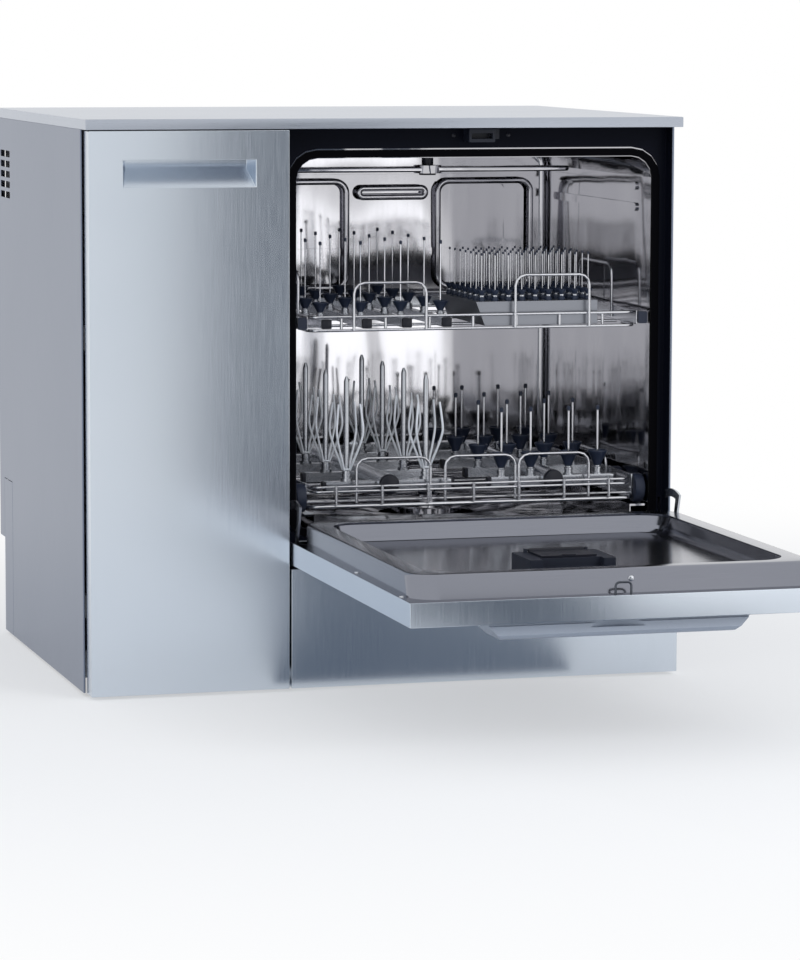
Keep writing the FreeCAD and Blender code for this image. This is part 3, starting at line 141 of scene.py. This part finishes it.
def pressed_steel(name, colour, rough):
    # Bright deep-drawn sheet, nearly a mirror: long shallow waves from the press, and fine
    # vertical wipe marks
    mat, tree, shader = new_material(name)
    shader.inputs["Metallic"].default_value = 1.0
    shader.inputs["Base Color"].default_value = (*colour, 1)
    wipe = stretched_noise(tree, (1, 1, 0.04), 160.0, 4.0)
    vary(tree, shader, wipe, rough, less=0.03)
    waves = stretched_noise(tree, (1, 1, 0.22), 5.0, 1.0)
    ripple = stretched_noise(tree, (1, 1, 0.12), 22.0, 1.0)
    slow = bump(tree, waves, 0.9, 12 * MM)
    tree.links.new(bump(tree, ripple, 0.5, 1.6 * MM, slow), shader.inputs["Normal"])
    return mat


def grained(name, colour, rough, scale, darker, lighter, strength, distance):
    # An even fine grain in the colour, the roughness and the surface
    mat, tree, shader = new_material(name)
    noise = stretched_noise(tree, EVEN, scale, 3.0)
    grain = ramp(tree, noise, shade(colour, darker), shade(colour, lighter))
    tree.links.new(grain, shader.inputs["Base Color"])
    vary(tree, shader, noise, rough)
    tree.links.new(bump(tree, noise, strength, distance), shader.inputs["Normal"])
    return mat, shader


def plastic(name, colour, rough, grain=0.08, scale=700.0, specular=0.5):
    mat, shader = grained(name, colour, rough, scale, 0.92, 1.08, grain, 0.4 * MM)
    shader.inputs["Specular IOR Level"].default_value = specular
    return mat


def glossy_metal(name, colour, rough, scratch=0.05):
    mat, shader = grained(name, colour, rough, 350.0, 0.95, 1.04, scratch, 0.3 * MM)
    shader.inputs["Metallic"].default_value = 1.0
    return mat


# How far the noise is stretched along x, y and z
EVEN = (1, 1, 1)
UP = (1.0, 1.0, 0.02)
ALONG_X = (0.02, 1.0, 1.0)

look = {
    # The casing is the same stainless as the front: its much darker colour is painted shade for
    # the sides that face away from the light
    "casing_steel": steel("casing_steel", (0.21, 0.24, 0.31), UP, 0.32, 0.02),
    "front_steel": steel("front_steel", (0.64, 0.695, 0.765), UP, 0.2, 0.02),
    "worktop_steel": steel("worktop_steel", (0.45, 0.485, 0.55), ALONG_X, 0.28, 0.02),
    "chamber_steel": pressed_steel("chamber_steel", (0.52, 0.52, 0.55), 0.07),
    "liner_steel": steel("liner_steel", (0.25, 0.26, 0.30), ALONG_X, 0.15, 0.03, 0.04),
    "wire_steel": glossy_metal("wire_steel", (0.66, 0.67, 0.71), 0.2),
    "tube_steel": glossy_metal("tube_steel", (0.52, 0.54, 0.58), 0.22, 0.01),
    "bare_steel": glossy_metal("bare_steel", (0.58, 0.60, 0.64), 0.24),
    "galvanised": steel("galvanised", (0.48, 0.50, 0.53), UP, 0.42, 0.10),
    "frame_black": plastic("frame_black", (0.004, 0.005, 0.010), 0.4, 0.02, specular=0.05),
    "brass_fittings": glossy_metal("brass_fittings", (0.78, 0.60, 0.33), 0.25),
    "pump_metal": plastic("pump_metal", (0.12, 0.13, 0.15), 0.5, 0.2, 300.0),
    "dark_plastic": plastic("dark_plastic", (0.014, 0.017, 0.028), 0.38, specular=0.3),
    "black_plastic": plastic("black_plastic", (0.010, 0.011, 0.018), 0.3, 0.03, specular=0.3),
    "navy_plastic": plastic("navy_plastic", (0.020, 0.026, 0.046), 0.42, specular=0.3),
    "grey_plastic": plastic("grey_plastic", (0.45, 0.47, 0.50), 0.45),
    "white_plastic": plastic("white_plastic", (0.74, 0.77, 0.82), 0.35, 0.03),
    "nozzle_plastic": plastic("nozzle_plastic", (0.018, 0.026, 0.05), 0.36, 0.04, specular=0.35),
    "fascia_grey": plastic("fascia_grey", (0.33, 0.37, 0.44), 0.34, 0.05, 1200.0),
    "button_grey": plastic("button_grey", (0.42, 0.44, 0.48), 0.3, 0.03),
    "display_glass": plastic("display_glass", (0.008, 0.009, 0.014), 0.08, 0.0),
    "seal_rubber": plastic("seal_rubber", (0.002, 0.002, 0.003), 0.6, 0.05, specular=0.03),
}

own_look = {"door_striker": glossy_metal("striker_steel", (0.10, 0.11, 0.13), 0.3),
            "module_box": steel("module_steel", (0.26, 0.27, 0.30), ALONG_X, 0.34, 0.03)}
for name, obj in nodes.items():
    obj.data.materials.clear()
    obj.data.materials.append(own_look.get(name, look[slot_of[name]]))


# Mesh helpers

def linked(name, data):
    obj = bpy.data.objects.new(name, data)
    bpy.context.scene.collection.objects.link(obj)
    return obj


def mm(*rows):
    # Rows of millimetres, as rows of metres
    return [tuple(value * MM for value in row) for row in rows]


def circle(sides):
    return [2 * math.pi * i / sides for i in range(sides)]


TIP = 1e-5  # the least radius of a turned shape, where its profile ends on the axis
AXES = {"X": ((0, 1, 0), (0, 0, 1), (1, 0, 0)),
        "Y": ((0, 0, 1), (1, 0, 0), (0, 1, 0)),
        "Z": ((1, 0, 0), (0, 1, 0), (0, 0, 1))}


class Shape:
    """Vertices and faces of one piece, in the frame's metres."""

    def __init__(self):
        self.verts = []
        self.faces = []

    def add(self, verts, faces):
        start = len(self.verts)
        self.verts += verts
        self.faces += [tuple(i + start for i in face) for face in faces]

    def rings(self, rings, closed=False):
        # Joins rings of equal length, and caps both ends unless the run closes on itself
        n = len(rings[0])
        faces = []
        last = len(rings) if closed else len(rings) - 1
        for k in range(last):
            a, b = k * n, (k + 1) % len(rings) * n
            faces += [(a + i, a + (i + 1) % n, b + (i + 1) % n, b + i) for i in range(n)]
        if not closed:
            end = range((len(rings) - 1) * n, len(rings) * n)
            faces += [tuple(range(n))[::-1], tuple(end)]
        self.add([p for ring in rings for p in ring], faces)

    def lathe(self, profile, base, axis="Z", sides=24, closed=False):
        # The profile lists radius and height along the axis from the base
        u, v, w = (Vector(direction) for direction in AXES[axis])
        base = Vector(base)
        self.rings([[base + w * h + (u * math.cos(t) + v * math.sin(t)) * max(r, TIP)
                     for t in circle(sides)] for r, h in profile], closed)

    def tube(self, points, radius, sides, closed=False):
        points = [Vector(p) for p in points]
        side = None
        rings = []
        for i, p in enumerate(points):
            before = points[i - 1] if i or closed else p
            after = points[(i + 1) % len(points)] if i + 1 < len(points) or closed else p
            ahead = (after - before).normalized()
            if side is None:
                side = ahead.orthogonal().normalized()
            side = (side - ahead * side.dot(ahead)).normalized()
            other = ahead.cross(side)
            rings.append([p + (side * math.cos(t) + other * math.sin(t)) * radius
                          for t in circle(sides)])
        self.rings(rings, closed)

    def piece(self, name, material, body, *replaced, slot=None):
        # The slot has the material's name; the slot argument is not used
        mesh = bpy.data.meshes.new(name)
        mesh.from_pydata([tuple(v) for v in self.verts], [], self.faces)
        mesh.validate()
        mesh.update()
        mesh.shade_smooth()
        mesh.set_sharp_from_angle(angle=math.radians(32))
        obj = linked(name, mesh)
        obj.data.materials.append(look[material])
        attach(obj, body)
        if replaced:
            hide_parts(*replaced)


def curve_through(points, steps=6):
    # Catmull-Rom points through the given ones
    points = [Vector(p) for p in points]
    ends = [points[0] * 2 - points[1]] + points + [points[-1] * 2 - points[-2]]
    out = []
    for a, b, c, d in zip(ends, ends[1:], ends[2:], ends[3:]):
        for i in range(steps):
            t = i / steps
            out.append(0.5 * (2 * b + (c - a) * t + (2 * a - 5 * b + 4 * c - d) * t * t
                              + (3 * b - a - 3 * c + d) * t ** 3))
    return out + [points[-1]]


def rounded_loop(x0, y0, x1, y1, r, z, steps=10):
    r = max(r, 0.2 * MM)
    centres = ((x1 - r, y1 - r, 0), (x0 + r, y1 - r, 90),
               (x0 + r, y0 + r, 180), (x1 - r, y0 + r, 270))
    turns = [(x, y, math.radians(start + 90 * i / steps))
             for x, y, start in centres for i in range(steps + 1)]
    return [(x + r * math.cos(t), y + r * math.sin(t), z) for x, y, t in turns]


def fillet(r, start, end, steps=5):
    # Points of an arc round the origin
    turns = [math.radians(start + (end - start) * i / steps) for i in range(steps + 1)]
    return [(r * math.cos(t), r * math.sin(t)) for t in turns]


# CAD pieces keep their shape: facets are shaded as the curves they stand for, and the edges of
# folded sheets get a small radius

folded = ("left_side_panel", "right_side_panel", "drawer_front", "door_panel", "service_panel",
          "worktop", "control_fascia", "dispenser_housing", "dispenser_lid", "module_box",
          "upper_side_rails", "connection_panel", "latch_housing", "lower_side_plates",
          "electronics_box", "front_frame")
for name, obj in nodes.items():
    weld = obj.modifiers.new("weld", "WELD")
    weld.merge_threshold = 0.01 * MM
    obj.data.shade_smooth()
    if name in folded:
        bevel = obj.modifiers.new("fold", "BEVEL")
        bevel.width = 0.8 * MM
        bevel.segments = 2
        bevel.limit_method = "ANGLE"
        bevel.angle_limit = math.radians(50)
        bevel.harden_normals = False
    split = obj.modifiers.new("edges", "EDGE_SPLIT")
    split.split_angle = math.radians(47)
    split.use_edge_sharp = False
    normals = obj.modifiers.new("normals", "WEIGHTED_NORMAL")
    normals.weight = 80


# Door

def liner():
    # The pressed pan with its folded rim, drawn round in place of the faceted one
    low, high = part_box("door_liner")
    x0, x1 = low.x + 9.8 * MM, high.x - 9.8 * MM
    y0, y1 = low.y + 19.9 * MM, high.y
    sheet = 1.2 * MM
    base, rim = low.z + sheet, high.z
    floor_z = base + 5.2 * MM
    lean, ledge, corner, pocket_corner = 14 * MM, 30 * MM, 38 * MM, 45 * MM
    deeper_front, wall = 6 * MM, 5 * MM

    def loop(inset, z):
        # The front wall leans in as it rises, and the other three stand upright
        rise = max(0.0, min(1.0, (z - base) / (rim - base)))
        return rounded_loop(x0 + inset, y0 + inset + lean * rise, x1 - inset, y1 - inset,
                            corner - inset, z)

    def pocket(inset, z):
        inner = ledge + inset
        return rounded_loop(x0 + inner, y0 + inner + deeper_front, x1 - inner, y1 - inner,
                            pocket_corner - inset, z)

    t, big, small = 1.0 * MM, 6 * MM, 4 * MM
    top = [loop(0, base)]
    top += [loop(big - c, rim - big + s) for c, s in fillet(big, 0, 90)]
    top += [pocket(-c, rim - small + s) for c, s in fillet(small, 90, 0)]
    top += [pocket(wall + big - c, floor_z + big - s) for c, s in fillet(big, 0, 90)]
    under = [pocket(wall + big + t, floor_z - t), pocket(wall - t, floor_z + big),
             pocket(-t, rim - small), pocket(-small, rim - t), loop(big, rim - t),
             loop(t, rim - big), loop(t, base)]
    pan = Shape()
    pan.rings(under + top)
    pan.piece("liner_pan", "liner_steel", "door", "door_liner")

    # The flat sheet round the pan
    back, lap = y1 - 13 * MM, 0.5 * MM
    outer = (low.x, low.y, high.x, back, 1.5 * MM)
    inner = (x0 + lap, y0 + lap, x1 - lap, back - lap, corner)
    levels = ((outer, base), (inner, base), (inner, base - sheet), (outer, base - sheet))
    plate = Shape()
    plate.rings([rounded_loop(*edge, z) for edge, z in levels], closed=True)
    plate.piece("liner_plate", "liner_steel", "door")

    heads = Shape()
    head = mm((0, 0), (4, 0), (3.6, 1.2), (2.0, 1.9), (0, 2.0))
    for along, back in mm((-5, 59), (-1.5, 295)):
        heads.lathe(head, (x0 + along, low.y + back, base), sides=16)
    heads.piece("liner_screws", "bare_steel", "door")

    # The screw in the leaning front wall points forward, at about half its height
    nut = Shape()
    nut.lathe(mm((0, 0), (4.2, 0), (4.2, -0.8), (3.2, -1.9), (1.3, -2.2), (1.1, -1.2), (0, -1.2)),
              (x0 + 304 * MM, y0 + lean * 0.55, (rim + base) / 2 + 2 * MM), "Y", 18)
    nut.piece("liner_front_screw", "bare_steel", "door")


# Cabinet

def chamber_pressings():
    # The outlines pressed in the chamber's back wall. Both edges of a bead sink into the wall,
    # and its crest stands 2.4 mm out of it
    low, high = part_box("wash_chamber")
    middle = (low.x + high.x) / 2
    wall = high.y - 13.4 * MM
    section = mm((0, 0.6), (1.6, -1.2), (3.2, -2.2), (5.0, -2.4), (6.8, -2.2), (8.4, -1.2),
                 (10, 0.6))
    # Left and low edge, right and high edge, and corner radius; x counts from the middle
    outlines = mm((-250, 545, -58, 724, 24), (-47, 689, 73, 713, 11.9), (84, 545, 250, 724, 24))
    beads = Shape()
    for x0, z0, x1, z1, r in outlines:
        loops = []
        for inset, out in section:
            loop = rounded_loop(middle + x0 + inset, z0 + inset, middle + x1 - inset, z1 - inset,
                                r - inset, 0, 12)
            loops.append([(x, wall + out, z) for x, z, _ in loop])
        beads.rings(loops, closed=True)
    beads.piece("chamber_back_beads", "chamber_steel", "cabinet")


def surround_screws():
    # Two small screws in the black surround, one on each side of the latch
    low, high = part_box("latch_housing")
    middle, reach = (low.x + high.x) / 2, 42 * MM
    head = mm((0, 0), (3.4, 0), (3.2, -0.9), (2.2, -1.5), (0, -1.6))
    heads = Shape()
    for x in (middle - reach, middle + reach):
        heads.lathe(head, (x, low.y + 29.2 * MM, low.z + 10 * MM), "Y", 16)
    heads.piece("surround_screws", "black_plastic", "cabinet")


# Baskets

def plug(shape, axis, low, high, start, end):
    # A rounded plate over a square end, across the axis from start to end, with softened rims
    (a0, b0), (a1, b1) = low, high
    rim, slight, corner = 0.8 * MM, 0.2 * MM, 1.8 * MM
    soft = rim if end > start else -rim
    loops = []
    for inset, place in ((rim, start), (slight, start + soft / 3), (0, start + soft), (0, end)):
        loop = rounded_loop(a0 + inset, b0 + inset, a1 - inset, b1 - inset, corner, 0, 4)
        loops.append([(a, place, b) if axis == "Y" else (place, a, b) for a, b, _ in loop])
    shape.rings(loops)


def pipe_ends():
    # Black moulded caps: round ones on the fronts of the manifold pipes, and square ones on both
    # ends of each bar and on the fronts of the upper tubes
    pipes, bars, tubes = (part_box(name) for name in
                          ("manifold_pipes", "injector_bars", "upper_injector_tubes"))
    cap = mm((0, 0), (12.2, 0), (14.4, 0.7), (15.2, 2.2), (15.2, 8.2), (14.4, 8.4), (14.4, 3),
             (0, 3))
    pipe_r, proud = 15 * MM, 0.4 * MM
    z = (bars[0].z + bars[1].z) / 2 + 2 * MM
    caps = Shape()
    for x in (pipes[0].x + pipe_r, pipes[1].x - pipe_r):
        caps.lathe(cap, (x, pipes[0].y - proud, z), "Y", 40)
    half, lap = 7.2 * MM, 0.2 * MM
    # Each bar has two lengths; the plugs' outer and inner faces count from the first one's end
    plugs = mm((-0.3, 5), (203.3, 198), (255.7, 261), (459.3, 454))
    for row in range(4):
        y = bars[0].y + (7 + 120 * row) * MM
        for outer, inner in plugs:
            plug(caps, "X", (y - half, bars[0].z - lap), (y + half, bars[1].z + lap),
                 bars[0].x + outer, bars[0].x + inner)
    caps.piece("manifold_caps", "black_plastic", "lower_basket")
    half, sole, crown = 7.4 * MM, 1.7 * MM, 15.7 * MM
    ends = Shape()
    for column in range(4):
        x = tubes[0].x + (7.1 + 61.5 * column) * MM
        y = tubes[0].y + 0.1 * MM
        plug(ends, "Y", (x - half, tubes[0].z + sole), (x + half, tubes[0].z + crown),
             y - proud, y + 5 * MM)
    ends.piece("upper_tube_caps", "black_plastic", "upper_basket")


def wheel(name):
    # A tyre on a steel hub, with its dished face away from the chamber's middle
    low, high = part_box(name)
    centre = (low + high) / 2
    r = (high.z - low.z) / 2
    w = high.x - low.x
    chamber_low, chamber_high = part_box("wash_chamber")
    out = 1 if centre.x > (chamber_low.x + chamber_high.x) / 2 else -1
    base = (low.x if out > 0 else high.x, centre.y, centre.z)
    edge, dish, hub = 1.4 * MM, 1.0 * MM, 5.2 * MM
    profile = [(hub, 0), (r - edge * 1.6, 0), (r - edge * 0.6, edge * 0.3), (r, edge * 1.3),
               (r, w * 0.5), (r, w - edge * 1.3), (r - edge * 0.6, w - edge * 0.3),
               (r - edge * 1.6, w), (r - 4.2 * MM, w), (r - 4.8 * MM, w - dish),
               (hub + 2.5 * MM, w - dish), (hub + 1.8 * MM, w - 0.2 * MM), (hub, w - 0.2 * MM)]
    tyre = Shape()
    tyre.lathe([(a, b * out) for a, b in profile], base, "X", 48, closed=True)
    tyre.piece(name + "_tyre", "navy_plastic", body_of[name], name, slot=slot_of[name])
    profile = [(0, 0), (hub - 0.2 * MM, 0), (hub - 0.2 * MM, w - 1.2 * MM),
               (hub - 1.4 * MM, w - 0.3 * MM), (0, w - 0.1 * MM)]
    cap = Shape()
    cap.lathe([(a, b * out) for a, b in profile], base, "X", 24)
    cap.piece(name + "_hub", "bare_steel", body_of[name])


def grid_in(name, columns, rows, radius):
    # The centre line of each repeated piece in a node that is a regular grid of them
    low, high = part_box(name)
    xs = [low.x + radius + (high.x - low.x - 2 * radius) * c for c in columns]
    ys = [low.y + radius + (high.y - low.y - 2 * radius) * r for r in rows]
    return [(x, y) for y in ys for x in xs], low.z, high.z


def even(count):
    return [i / (count - 1) for i in range(count)]


def stand(source, body, places, parts):
    # Each part is one piece: its turned profiles, with their foot and sides, at every place
    replaced = [source]
    for name, material, closed, *turned in parts:
        shape = Shape()
        for x, y in places:
            for i, (profile, z, sides) in enumerate(turned):
                shape.lathe(profile, (x, y, z), sides=sides, closed=closed and i == 0)
        shape.piece(name, material, body, *replaced)
        replaced = []


def upper_nozzles():
    places, z0, z1 = grid_in("upper_nozzles", even(4), even(5), 12 * MM)
    socket = mm((7, 0), (7, 2.4), (5.6, 2.8), (5.6, 4.6), (6.4, 5), (6.4, 6.8), (4.4, 7.4),
                (4.4, 8.6))
    funnel = mm((3.6, 8.4), (4.2, 8.4), (5, 10.4), (11.6, 22.4), (12.2, 23), (12.2, 23.8),
                (11.2, 23.9), (3.4, 12.4))
    rod = mm((1.15, 8), (1.15, 109))
    tip = mm((1.6, 0), (2.3, 0.6), (2.3, 4.6), (1.8, 5.6), (0, 5.8))
    stand("upper_nozzles", "upper_basket", places, (
        ("upper_nozzle_sockets", "bare_steel", False, (socket, z0, 20)),
        ("upper_nozzle_funnels", "nozzle_plastic", True, (funnel, z0, 28)),
        ("upper_nozzle_rods", "wire_steel", False, (rod, z0, 10)),
        ("upper_nozzle_tips", "nozzle_plastic", False, (tip, z1 - 6 * MM, 14))))


def module_nozzles():
    places, z0, z1 = grid_in("module_nozzles", even(9), even(7), 7.2 * MM)
    foot = mm((5.2, 0), (5.4, 1.5), (4.6, 5.5), (4, 6.2))
    ring = mm((4.2, 6), (4.4, 6.4), (4.4, 8.6), (3.6, 9))
    funnel = mm((2.6, 8.8), (3, 9), (6.9, 15.6), (6.9, 16.4), (2.4, 11))
    tip = mm((1, 0), (1.5, 0.4), (1.5, 3.6), (0, 4))
    rod = [(0.9 * MM, 8 * MM), (0.9 * MM, z1 - z0 - 4 * MM)]
    stand("module_nozzles", "upper_basket", places, (
        ("module_nozzle_bases", "nozzle_plastic", False, (foot, z0, 16)),
        ("module_nozzle_rings", "bare_steel", False, (ring, z0, 16)),
        ("module_nozzle_funnels", "nozzle_plastic", True, (funnel, z0, 18),
         (tip, z1 - 4.2 * MM, 10)),
        ("module_nozzle_rods", "wire_steel", False, (rod, z0, 8))))


def short_nozzles():
    columns = (0, 46 / 152, 106 / 152, 1)
    places, z0, z1 = grid_in("short_nozzles", columns, even(4), 15 * MM)
    stub = mm((8, 0), (8, 2), (6, 2.6), (6, 8), (7, 8.6), (7, 10.6), (4.6, 11.4), (4.6, 13))
    funnel = mm((4, 12.6), (5.4, 13), (6.4, 16), (14.2, 33), (14.8, 33.8), (14.8, 35.6),
                (13.4, 35.8), (4.2, 18))
    rod = mm((1.9, 12), (1.9, 98))
    tip = mm((2.2, 0), (2.9, 0.8), (2.9, 5.4), (2.2, 7), (0, 7.4))
    stand("short_nozzles", "lower_basket", places, (
        ("short_nozzle_stubs", "bare_steel", False, (stub, z0, 24)),
        ("short_nozzle_funnels", "nozzle_plastic", True, (funnel, z0, 32)),
        ("short_nozzle_rods", "wire_steel", False, (rod, z0, 12)),
        ("short_nozzle_tips", "nozzle_plastic", False, (tip, z1 - 7.6 * MM, 16))))


def bottle_nozzles():
    low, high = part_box("bottle_nozzles")
    r = 9 * MM
    xs = [round(x, 5) for x in (low.x + r, high.x - r)]
    ys = [low.y + r + (high.y - low.y - 2 * r) * t for t in even(4)]
    places = [(x, y) for x in xs for y in ys]
    pipe = mm((4, 10), (4, 148), (3.2, 151), (1.6, 155.6))
    collar = mm((9, 0), (9, 4.4), (8.4, 5), (6.3, 5.2), (6.3, 8), (7.6, 8.4), (7.6, 11),
                (6.2, 11.4), (6.2, 15.6), (4.2, 16))
    stand("bottle_nozzles", "lower_basket", places, (
        ("bottle_nozzle_pipes", "tube_steel", False, (pipe, low.z, 20)),
        ("bottle_nozzle_collars", "bare_steel", False, (collar, low.z, 24))))
    rods = Shape()
    for x, y in places:
        support(rods, x, y, low.z + 16.2 * MM)
    rods.piece("bottle_support_rods", "white_plastic", "lower_basket", "bottle_supports")


def support(shape, x, y, z):
    # Four white rods that spread from a ring at the nozzle's foot and lean in again at their tops
    bow = mm((4.4, 0), (8.5, 14), (15.5, 36), (20.3, 58), (18.6, 82), (16.6, 100))
    for a, b in ((1, 1), (1, -1), (-1, -1), (-1, 1)):
        path = [(x + a * reach, y + b * reach, z + up) for reach, up in bow]
        shape.tube(curve_through(path), 1.7 * MM, 10)
    r, rise = 6.4 * MM, 1.6 * MM
    ring = [(x + r * math.cos(t), y + r * math.sin(t), z + rise) for t in circle(24)]
    shape.tube(ring, 1.5 * MM, 8, closed=True)


liner()
chamber_pressings()
surround_screws()
pipe_ends()
for side in ("left", "right"):
    for number in range(1, 5):
        wheel(f"{side}_wheel_{number}")
upper_nozzles()
module_nozzles()
short_nozzles()
bottle_nozzles()


# Camera, floor and light

WHITE = (1, 1, 1, 1)
FAR = 2.4  # the distance from the middle at which the floor has gone over into white


def camera():
    data = bpy.data.cameras.new("camera")
    data.lens = 149.2
    data.sensor_width = 36.0
    data.clip_end = 60.0
    obj = linked("camera", data)
    yaw, pitch, roll = math.radians(16.045), math.radians(-6.731), math.radians(0.18)
    place = (-1.584, -5.601, 0.990)
    ahead = Vector((math.sin(yaw) * math.cos(pitch), math.cos(yaw) * math.cos(pitch),
                    math.sin(pitch)))
    turn = ahead.to_track_quat("-Z", "Y").to_matrix().to_4x4()
    obj.matrix_world = Matrix.Translation(place) @ turn @ Matrix.Rotation(roll, 4, "Z")
    bpy.context.scene.camera = obj
    bpy.context.scene.view_settings.view_transform = "Standard"


def combined(tree, operation, first, second):
    made = node(tree, "ShaderNodeMath", operation=operation)
    tree.links.new(first, made.inputs[0])
    tree.links.new(second, made.inputs[1])
    return made.outputs[0]


def mixed(tree, amount, first, second, out):
    made = node(tree, "ShaderNodeMixShader")
    for source, place in zip((amount, first, second), made.inputs):
        tree.links.new(source, place)
    tree.links.new(made.outputs[0], out)


def faded(tree, source, near, least):
    made = node(tree, "ShaderNodeMapRange")
    made.interpolation_type = "SMOOTHSTEP"
    for key, value in {"From Min": near, "From Max": FAR, "To Min": least, "To Max": 1.0}.items():
        made.inputs[key].default_value = value
    tree.links.new(source, made.inputs["Value"])
    return made.outputs["Result"]


def rays(tree):
    # Rays that see the backdrop itself, and rays that meet it in a mirror
    path = node(tree, "ShaderNodeLightPath")
    seen = combined(tree, "MAXIMUM", path.outputs["Is Camera Ray"],
                    path.outputs["Is Transmission Ray"])
    return seen, path.outputs["Is Glossy Ray"]


def floor():
    # Near the object the floor keeps its shadow, and further out it fades into the white backdrop
    mesh = bpy.data.meshes.new("floor")
    s = 14.0
    mesh.from_pydata([(-s, -s, 0), (s, -s, 0), (s, s, 0), (-s, s, 0)], [], [(0, 1, 2, 3)])
    obj = linked("floor", mesh)
    mat, tree, shader = new_material("floor")
    shader.inputs["Base Color"].default_value = (0.86, 0.87, 0.89, 1)
    shader.inputs["Roughness"].default_value = 0.85
    shader.inputs["Specular IOR Level"].default_value = 0.05
    coords = node(tree, "ShaderNodeTexCoord")
    length = node(tree, "ShaderNodeVectorMath", operation="LENGTH")
    tree.links.new(coords.outputs["Object"], length.inputs[0])
    distance = length.outputs["Value"]
    seen, mirrored = rays(tree)
    amount = combined(tree, "MAXIMUM",
                      combined(tree, "MULTIPLY", faded(tree, distance, 0.7, 0.45), seen),
                      combined(tree, "MULTIPLY", faded(tree, distance, 0.9, 0.5), mirrored))
    white = node(tree, "ShaderNodeEmission", Color=WHITE, Strength=1.0)
    mixed(tree, amount, shader.outputs[0], white.outputs[0],
          tree.nodes["Material Output"].inputs["Surface"])
    obj.data.materials.append(mat)


def backdrop():
    # White for the camera and in mirrors, and a soft sky for the light on the object
    world = bpy.data.worlds.new("studio")
    bpy.context.scene.world = world
    world.use_nodes = True
    tree = world.node_tree
    tree.nodes.clear()
    soft = node(tree, "ShaderNodeBackground", Color=(0.93, 0.96, 1.0, 1), Strength=0.8)
    white = node(tree, "ShaderNodeBackground", Color=WHITE, Strength=1.0)
    out = node(tree, "ShaderNodeOutputWorld")
    mixed(tree, combined(tree, "MAXIMUM", *rays(tree)), soft.outputs[0], white.outputs[0],
          out.inputs[0])


def studio_card(name, corners, level):
    # A studio card that only mirror rays meet: it gives the flat steel its gradient
    mesh = bpy.data.meshes.new(name)
    mesh.from_pydata(corners, [], [(0, 1, 2, 3)])
    card = linked(name, mesh)
    mat, tree, shader = new_material(name)
    tree.nodes.remove(shader)
    glow = node(tree, "ShaderNodeEmission", Color=(0.62, 0.76, 1.0, 1), Strength=level)
    tree.links.new(glow.outputs[0], tree.nodes["Material Output"].inputs["Surface"])
    card.data.materials.append(mat)
    card.visible_camera = False
    card.visible_diffuse = False
    card.visible_transmission = False
    card.visible_shadow = False
    card.visible_volume_scatter = False


def lamp(name, place, target, size, power, colour=(1, 1, 1), mirrored=False):
    data = bpy.data.lights.new(name, "AREA")
    data.shape = "RECTANGLE"
    data.size, data.size_y = size
    data.energy = power
    data.color = colour
    obj = linked(name, data)
    obj.location = place
    obj.rotation_euler = (Vector(target) - Vector(place)).to_track_quat("-Z", "Y").to_euler()
    obj.visible_glossy = mirrored


camera()
floor()
backdrop()
# One card stands in front of the wash section, and the other lies on the floor before it: a
# painted shadow of the open door on the floor, seen only in mirrors
studio_card("dark_card", [(0.08, -1.6, 0.0), (0.46, -1.6, 0.0), (0.46, -1.6, 0.95),
                          (0.08, -1.6, 0.95)], 0.12)
studio_card("painted_door_shadow", [(-0.16, -0.1, 0.003), (0.30, -0.1, 0.003), (0.68, -1.6, 0.003),
                           (0.22, -1.6, 0.003)], 0.2)
lamp("key", (2.6, -3.4, 2.6), (0.1, 0, 0.5), (2.2, 1.8), 60)
lamp("left_fill", (-3.2, -2.4, 1.6), (-0.2, 0, 0.5), (1.6, 2.2), 25, (0.92, 0.96, 1.0))
lamp("chamber_fill", (0.595, -1.5, 0.37), (0.03, 0.4, 0.42), (0.43, 0.42), 0.55, mirrored=True)
